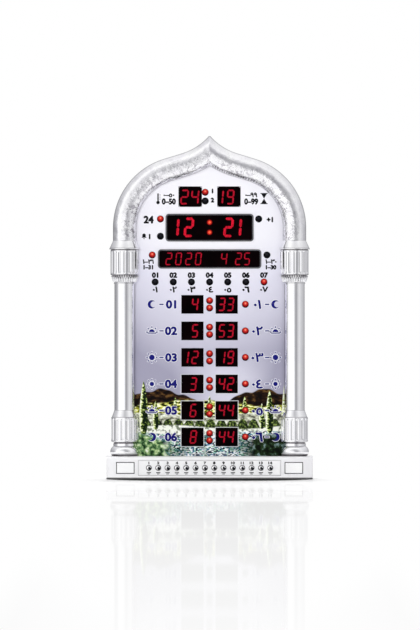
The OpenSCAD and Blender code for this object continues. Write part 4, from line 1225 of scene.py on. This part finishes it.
def keyMarks():
    marks = Marks(caseSizes["stripY"] - markPlan["lift"])
    for i in range(caseSizes["keys"]):
        x = (i - (caseSizes["keys"] - 1) / 2) * caseSizes["keyPitch"]
        marks.text(str(i + 1), x, 18.9, 2.7, 0.3, 1.35)
        marks.bar(x, 7.6, 5.0, 1.0)
        marks.bar(x, 6.1, 3.0, 0.8)
    return marks.done("key_marks", inkBlack, "white_plate")


inkBlack = inkFinish("inkBlack", (0.003, 0.003, 0.004), (0.008, 0.008, 0.01))
blackMarks()
inkWhite = inkFinish("inkWhite", (0.88, 0.88, 0.92), (0.8, 0.8, 0.86))
rowMarks("row_marks_edge", inkWhite, 0.6, markPlan["lift"])
inkNavy = inkFinish("inkNavy", (0.008, 0.008, 0.14), (0.014, 0.014, 0.2))
rowMarks("row_marks", inkNavy, 0.0, 2 * markPlan["lift"])
keyMarks()
print("marks printed")


# Two tones, roughness, grain or dent and wrinkle, relief, other settings and the nodes. Sizes in millimetres.
mouldedCoats = {
    "stripPaint": ((0.96, 0.96, 0.97), (0.92, 0.92, 0.935), 0.4, 0.5, 0.01, {}, ["key_strip"]),
    "windowBlack": (
        (0.001, 0.0004, 0.0006), (0.003, 0.0006, 0.0012), 0.3, 0.5, 0.002, {"Specular_IOR_Level": 0.01},
        ["temperature_display", "countdown_display", "time_display", "date_display",
         *["row_%d_displays" % (i + 1) for i in range(caseSizes["rows"])]]),
    "rimGrey": (
        (0.12, 0.12, 0.13), (0.08, 0.08, 0.09), 0.35, 0.4, 0.01, {"Specular_IOR_Level": 0.2},
        ["time_bezel", "date_bezel"]),
    "coverGrey": ((0.62, 0.62, 0.65), (0.58, 0.58, 0.61), 0.5, 0.7, 0.04, {}, ["rear_cover", "battery_door"]),
    "boardGreen": ((0.02, 0.16, 0.06), (0.03, 0.2, 0.08), 0.35, 1.2, 0.02, {}, ["main_board", "key_board"]),
    "mouldedBlack": (
        (0.02, 0.02, 0.022), (0.03, 0.03, 0.03), 0.45, 0.5, 0.02, {},
        ["tact_switches", "processor_chip", "speaker", "dc_jack", "cell_holder"]),
    "sensorBead": ((0.03, 0.03, 0.03), (0.1, 0.05, 0.02), 0.4, 0.3, 0.01, {}, ["temperature_sensor"]),
    "ribbonGrey": ((0.55, 0.55, 0.58), (0.45, 0.45, 0.5), 0.5, 1.3, 0.05, {}, ["key_ribbon"]),
    "leadBlack": ((0.02, 0.02, 0.02), (0.04, 0.04, 0.04), 0.5, 0.6, 0.03, {}, ["dc_lead", "speaker_lead"]),
}
platedCoats = {
    "screwSteel": (
        (0.62, 0.62, 0.64), (0.5, 0.5, 0.52), 0.28, 1.2, 2.0, 0.02, ["rear_cover_screws", "board_screws"]),
    "cellSteel": ((0.7, 0.7, 0.7), (0.6, 0.6, 0.6), 0.3, 1.5, 3.0, 0.01, ["backup_cell"]),
}
for name, (*values, extra, nodes) in mouldedCoats.items():
    coat(mouldedFinish(name, *values, **extra), *nodes)
for name, (*values, nodes) in platedCoats.items():
    coat(platedFinish(name, *values), *nodes)
coat(plinthFinish(), "base_plinth")
coat(plateFinish(), "left_corner_plate", "right_corner_plate")
coat(keyFinish(), *["push_button_%02d" % (i + 1) for i in range(caseSizes["keys"])])
print("finishes laid")


# Metres and watts. The contact ramp is a painted shadow: the floor's brightness from the plinth's front to
# its reach.
studio = {
    "distance": 5.5, "centreX": 0.0005, "centreZ": 0.191, "frameHigh": 0.7327, "sensor": 36,
    "worldLevel": 0.34, "topPower": 60, "frontPower": 31, "sidePower": 5,
    "floorHalf": 9, "floorTone": 0.9, "mirror": 0.23, "contactReach": 0.076, "contactHalf": 0.122,
    "plinthEnd": (0.117, 0.121), "beside": (0.121, 0.15), "behind": (0.0, 0.1), "inFront": (-2.4, -4.5),
    "mattWhite": (-0.1, -0.42), "mirrorFade": (-3.4, -0.05), "mirrorEnd": (0.35, 0.7),
    "paintedShadow": [(0.0, 0.01), (0.25, 0.03), (0.45, 0.12), (0.62, 0.34), (0.8, 0.7), (1.0, 1.0)],
    "domeRadius": 7.5,
}


def bareMaterial(name):
    material = bpy.data.materials.new(name)
    material.use_nodes = True
    material.node_tree.nodes.clear()
    return material, out(addNode(material.node_tree, "ShaderNodeTexCoord"), "Object")


def buildFloor():
    half = studio["floorHalf"]
    mesh = bpy.data.meshes.new("floor")
    corners = [(-half, -half, 0), (half, -half, 0), (half, half, 0), (-half, half, 0)]
    mesh.from_pydata(corners, [], [(0, 1, 2, 3)])
    material, place = bareMaterial("floorWhite")
    tree = place.tree

    def mixShaders(amount, first, second):
        return addNode(tree, "ShaderNodeMixShader", {0: amount, 1: first, 2: second})

    x, y, z = splitUp(place)
    aside = abs(x)
    rays = addNode(tree, "ShaderNodeLightPath")
    seen = out(rays, "Is Camera Ray")
    # painted contact shadow: the floor darkens into the plinth's front, most in the middle
    bow = 1.0 - (aside / studio["contactHalf"]) ** 4.0
    reach = most(bow, 0.02) * studio["contactReach"]
    depth = calc("DIVIDE", caseSizes["frontY"] * mm - y, reach, clamp=True)
    paintedShadow = calc("ADD", depth, spread(aside, *studio["plinthEnd"]), clamp=True)
    paintedShadow = blend(seen, (1.0, 1.0, 1.0), ramp(paintedShadow, greys(studio["paintedShadow"])))
    matt = addNode(tree, "ShaderNodeBsdfDiffuse", {
        "Color": blend(1.0, (studio["floorTone"],) * 3, paintedShadow, "MULTIPLY")})
    # away from the clock the camera sees plain white, so the floor has no visible end
    white = addNode(tree, "ShaderNodeEmission", {"Color": (1, 1, 1), "Strength": 1.0})
    matt = mixShaders(spread(y, *studio["mattWhite"]) * seen, matt, white)
    gloss = addNode(tree, "ShaderNodeBsdfGlossy", {"Color": paintedShadow, "Roughness": 0.03})
    mixed = mixShaders(spread(y, *studio["mirrorFade"], 0.02, studio["mirror"]), matt, gloss)
    beyond = most(spread(aside, *studio["beside"]), spread(y, *studio["behind"]))
    beyond = most(beyond, spread(y, *studio["inFront"])) * seen
    faded = mixShaders(beyond, mixed, white)
    # mirrors look through the far floor to the screen beyond it
    far = spread(most(aside, abs(y)), *studio["mirrorEnd"])
    clear = addNode(tree, "ShaderNodeBsdfTransparent")
    opened = mixShaders(far * out(rays, "Is Glossy Ray"), faded, clear)
    addNode(tree, "ShaderNodeOutputMaterial", {0: opened})
    floor = placeMesh("floor", mesh, material)


def buildWorld():
    world = bpy.data.worlds.new("studio")
    bpy.context.scene.world = world
    world.use_nodes = True
    tree = world.node_tree
    tree.nodes.clear()
    seen = out(addNode(tree, "ShaderNodeLightPath"), "Is Camera Ray")
    strength = seen * (1 - studio["worldLevel"]) + studio["worldLevel"]
    back = addNode(tree, "ShaderNodeBackground", {"Color": (1, 1, 1), "Strength": strength})
    addNode(tree, "ShaderNodeOutputWorld", {0: back})


# Brightness of the room that mirrors show, by direction and by the angle off the lens axis over 180
domeTones = {
    "left": [(0.0, 0.9), (0.02, 1.14), (0.38, 1.14), (0.43, 0.78), (0.52, 0.42), (0.75, 0.3), (1.0, 0.1)],
    "right": [(0.0, 0.9), (0.05, 0.44), (0.12, 0.36), (0.2, 0.62), (0.3, 0.8), (0.5, 0.6), (0.75, 0.44),
              (1.0, 0.2)],
    "up": [(0.0, 0.7), (0.08, 0.48), (0.2, 0.5), (0.34, 1.1), (0.7, 1.1), (1.0, 0.5)],
    "down": [(0.0, 0.9), (0.1, 1.0), (0.35, 1.0), (0.55, 0.65), (1.0, 0.2)],
}


def buildReflectionDome():
    bm = bmesh.new()
    bmesh.ops.create_uvsphere(bm, u_segments=48, v_segments=24, radius=studio["domeRadius"])
    material, place = bareMaterial("domeGlow")
    dome = placeMesh("reflectionDome", meshFrom("reflectionDome", bm), material)
    tree = place.tree
    x, y, z = splitUp(addNode(tree, "ShaderNodeVectorMath", {0: place}, operation="NORMALIZE"))
    offAxis = calc("ARCCOSINE", y * -1.0) / math.pi
    total, weights = None, None
    for side, axis, sign in (("left", x, -1.0), ("right", x, 1.0), ("up", z, 1.0), ("down", z, -1.0)):
        weight = most(axis * sign, 0.0001)
        part = weight * ramp(offAxis, greys(domeTones[side]))
        total = part if total is None else total + part
        weights = weight if weights is None else weights + weight
    # the floor mirrors what lies straight behind the clock
    level = most(total / weights, spread(offAxis, 0.955, 0.972))
    glow = addNode(tree, "ShaderNodeEmission", {
        "Color": blend(level, (0.93, 0.93, 1.0), (1.0, 1.0, 1.0)), "Strength": level})
    addNode(tree, "ShaderNodeOutputMaterial", {0: glow})
    dome.visible_camera = False
    dome.visible_diffuse = False
    dome.visible_shadow = False
    dome.visible_transmission = False


def softLamp(name, place, aim, size, power):
    data = bpy.data.lights.new(name, "AREA")
    data.shape = "RECTANGLE"
    data.size, data.size_y = size
    data.energy = power
    lamp = bpy.data.objects.new(name, data)
    lamp.location = place
    lamp.rotation_euler = (Vector(aim) - Vector(place)).to_track_quat("-Z", "Y").to_euler()
    lamp.visible_glossy = False
    lamp.visible_camera = False
    sceneObjects.link(lamp)


buildFloor()
buildWorld()
buildReflectionDome()
softLamp("topLamp", (0, 0.55, 2.6), (0, -0.1, 0), (1.6, 0.8), studio["topPower"])
softLamp("frontLamp", (-0.7, -2.6, 0.9), (0, 0, 0.2), (1.6, 1.0), studio["frontPower"])
softLamp("sideLamp", (1.6, -2.0, 0.8), (0, 0, 0.2), (1.2, 1.0), studio["sidePower"])

cameraData = bpy.data.cameras.new("camera")
cameraData.sensor_fit = "VERTICAL"
cameraData.sensor_height = studio["sensor"]
cameraData.lens = studio["sensor"] * studio["distance"] / studio["frameHigh"]
camera = bpy.data.objects.new("camera", cameraData)
camera.location = (studio["centreX"], caseSizes["frontY"] * mm - studio["distance"], studio["centreZ"])
camera.rotation_euler = (math.pi / 2, 0, 0)
sceneObjects.link(camera)
bpy.context.scene.camera = camera
bpy.context.scene.view_settings.view_transform = "Standard"
print("studio set")
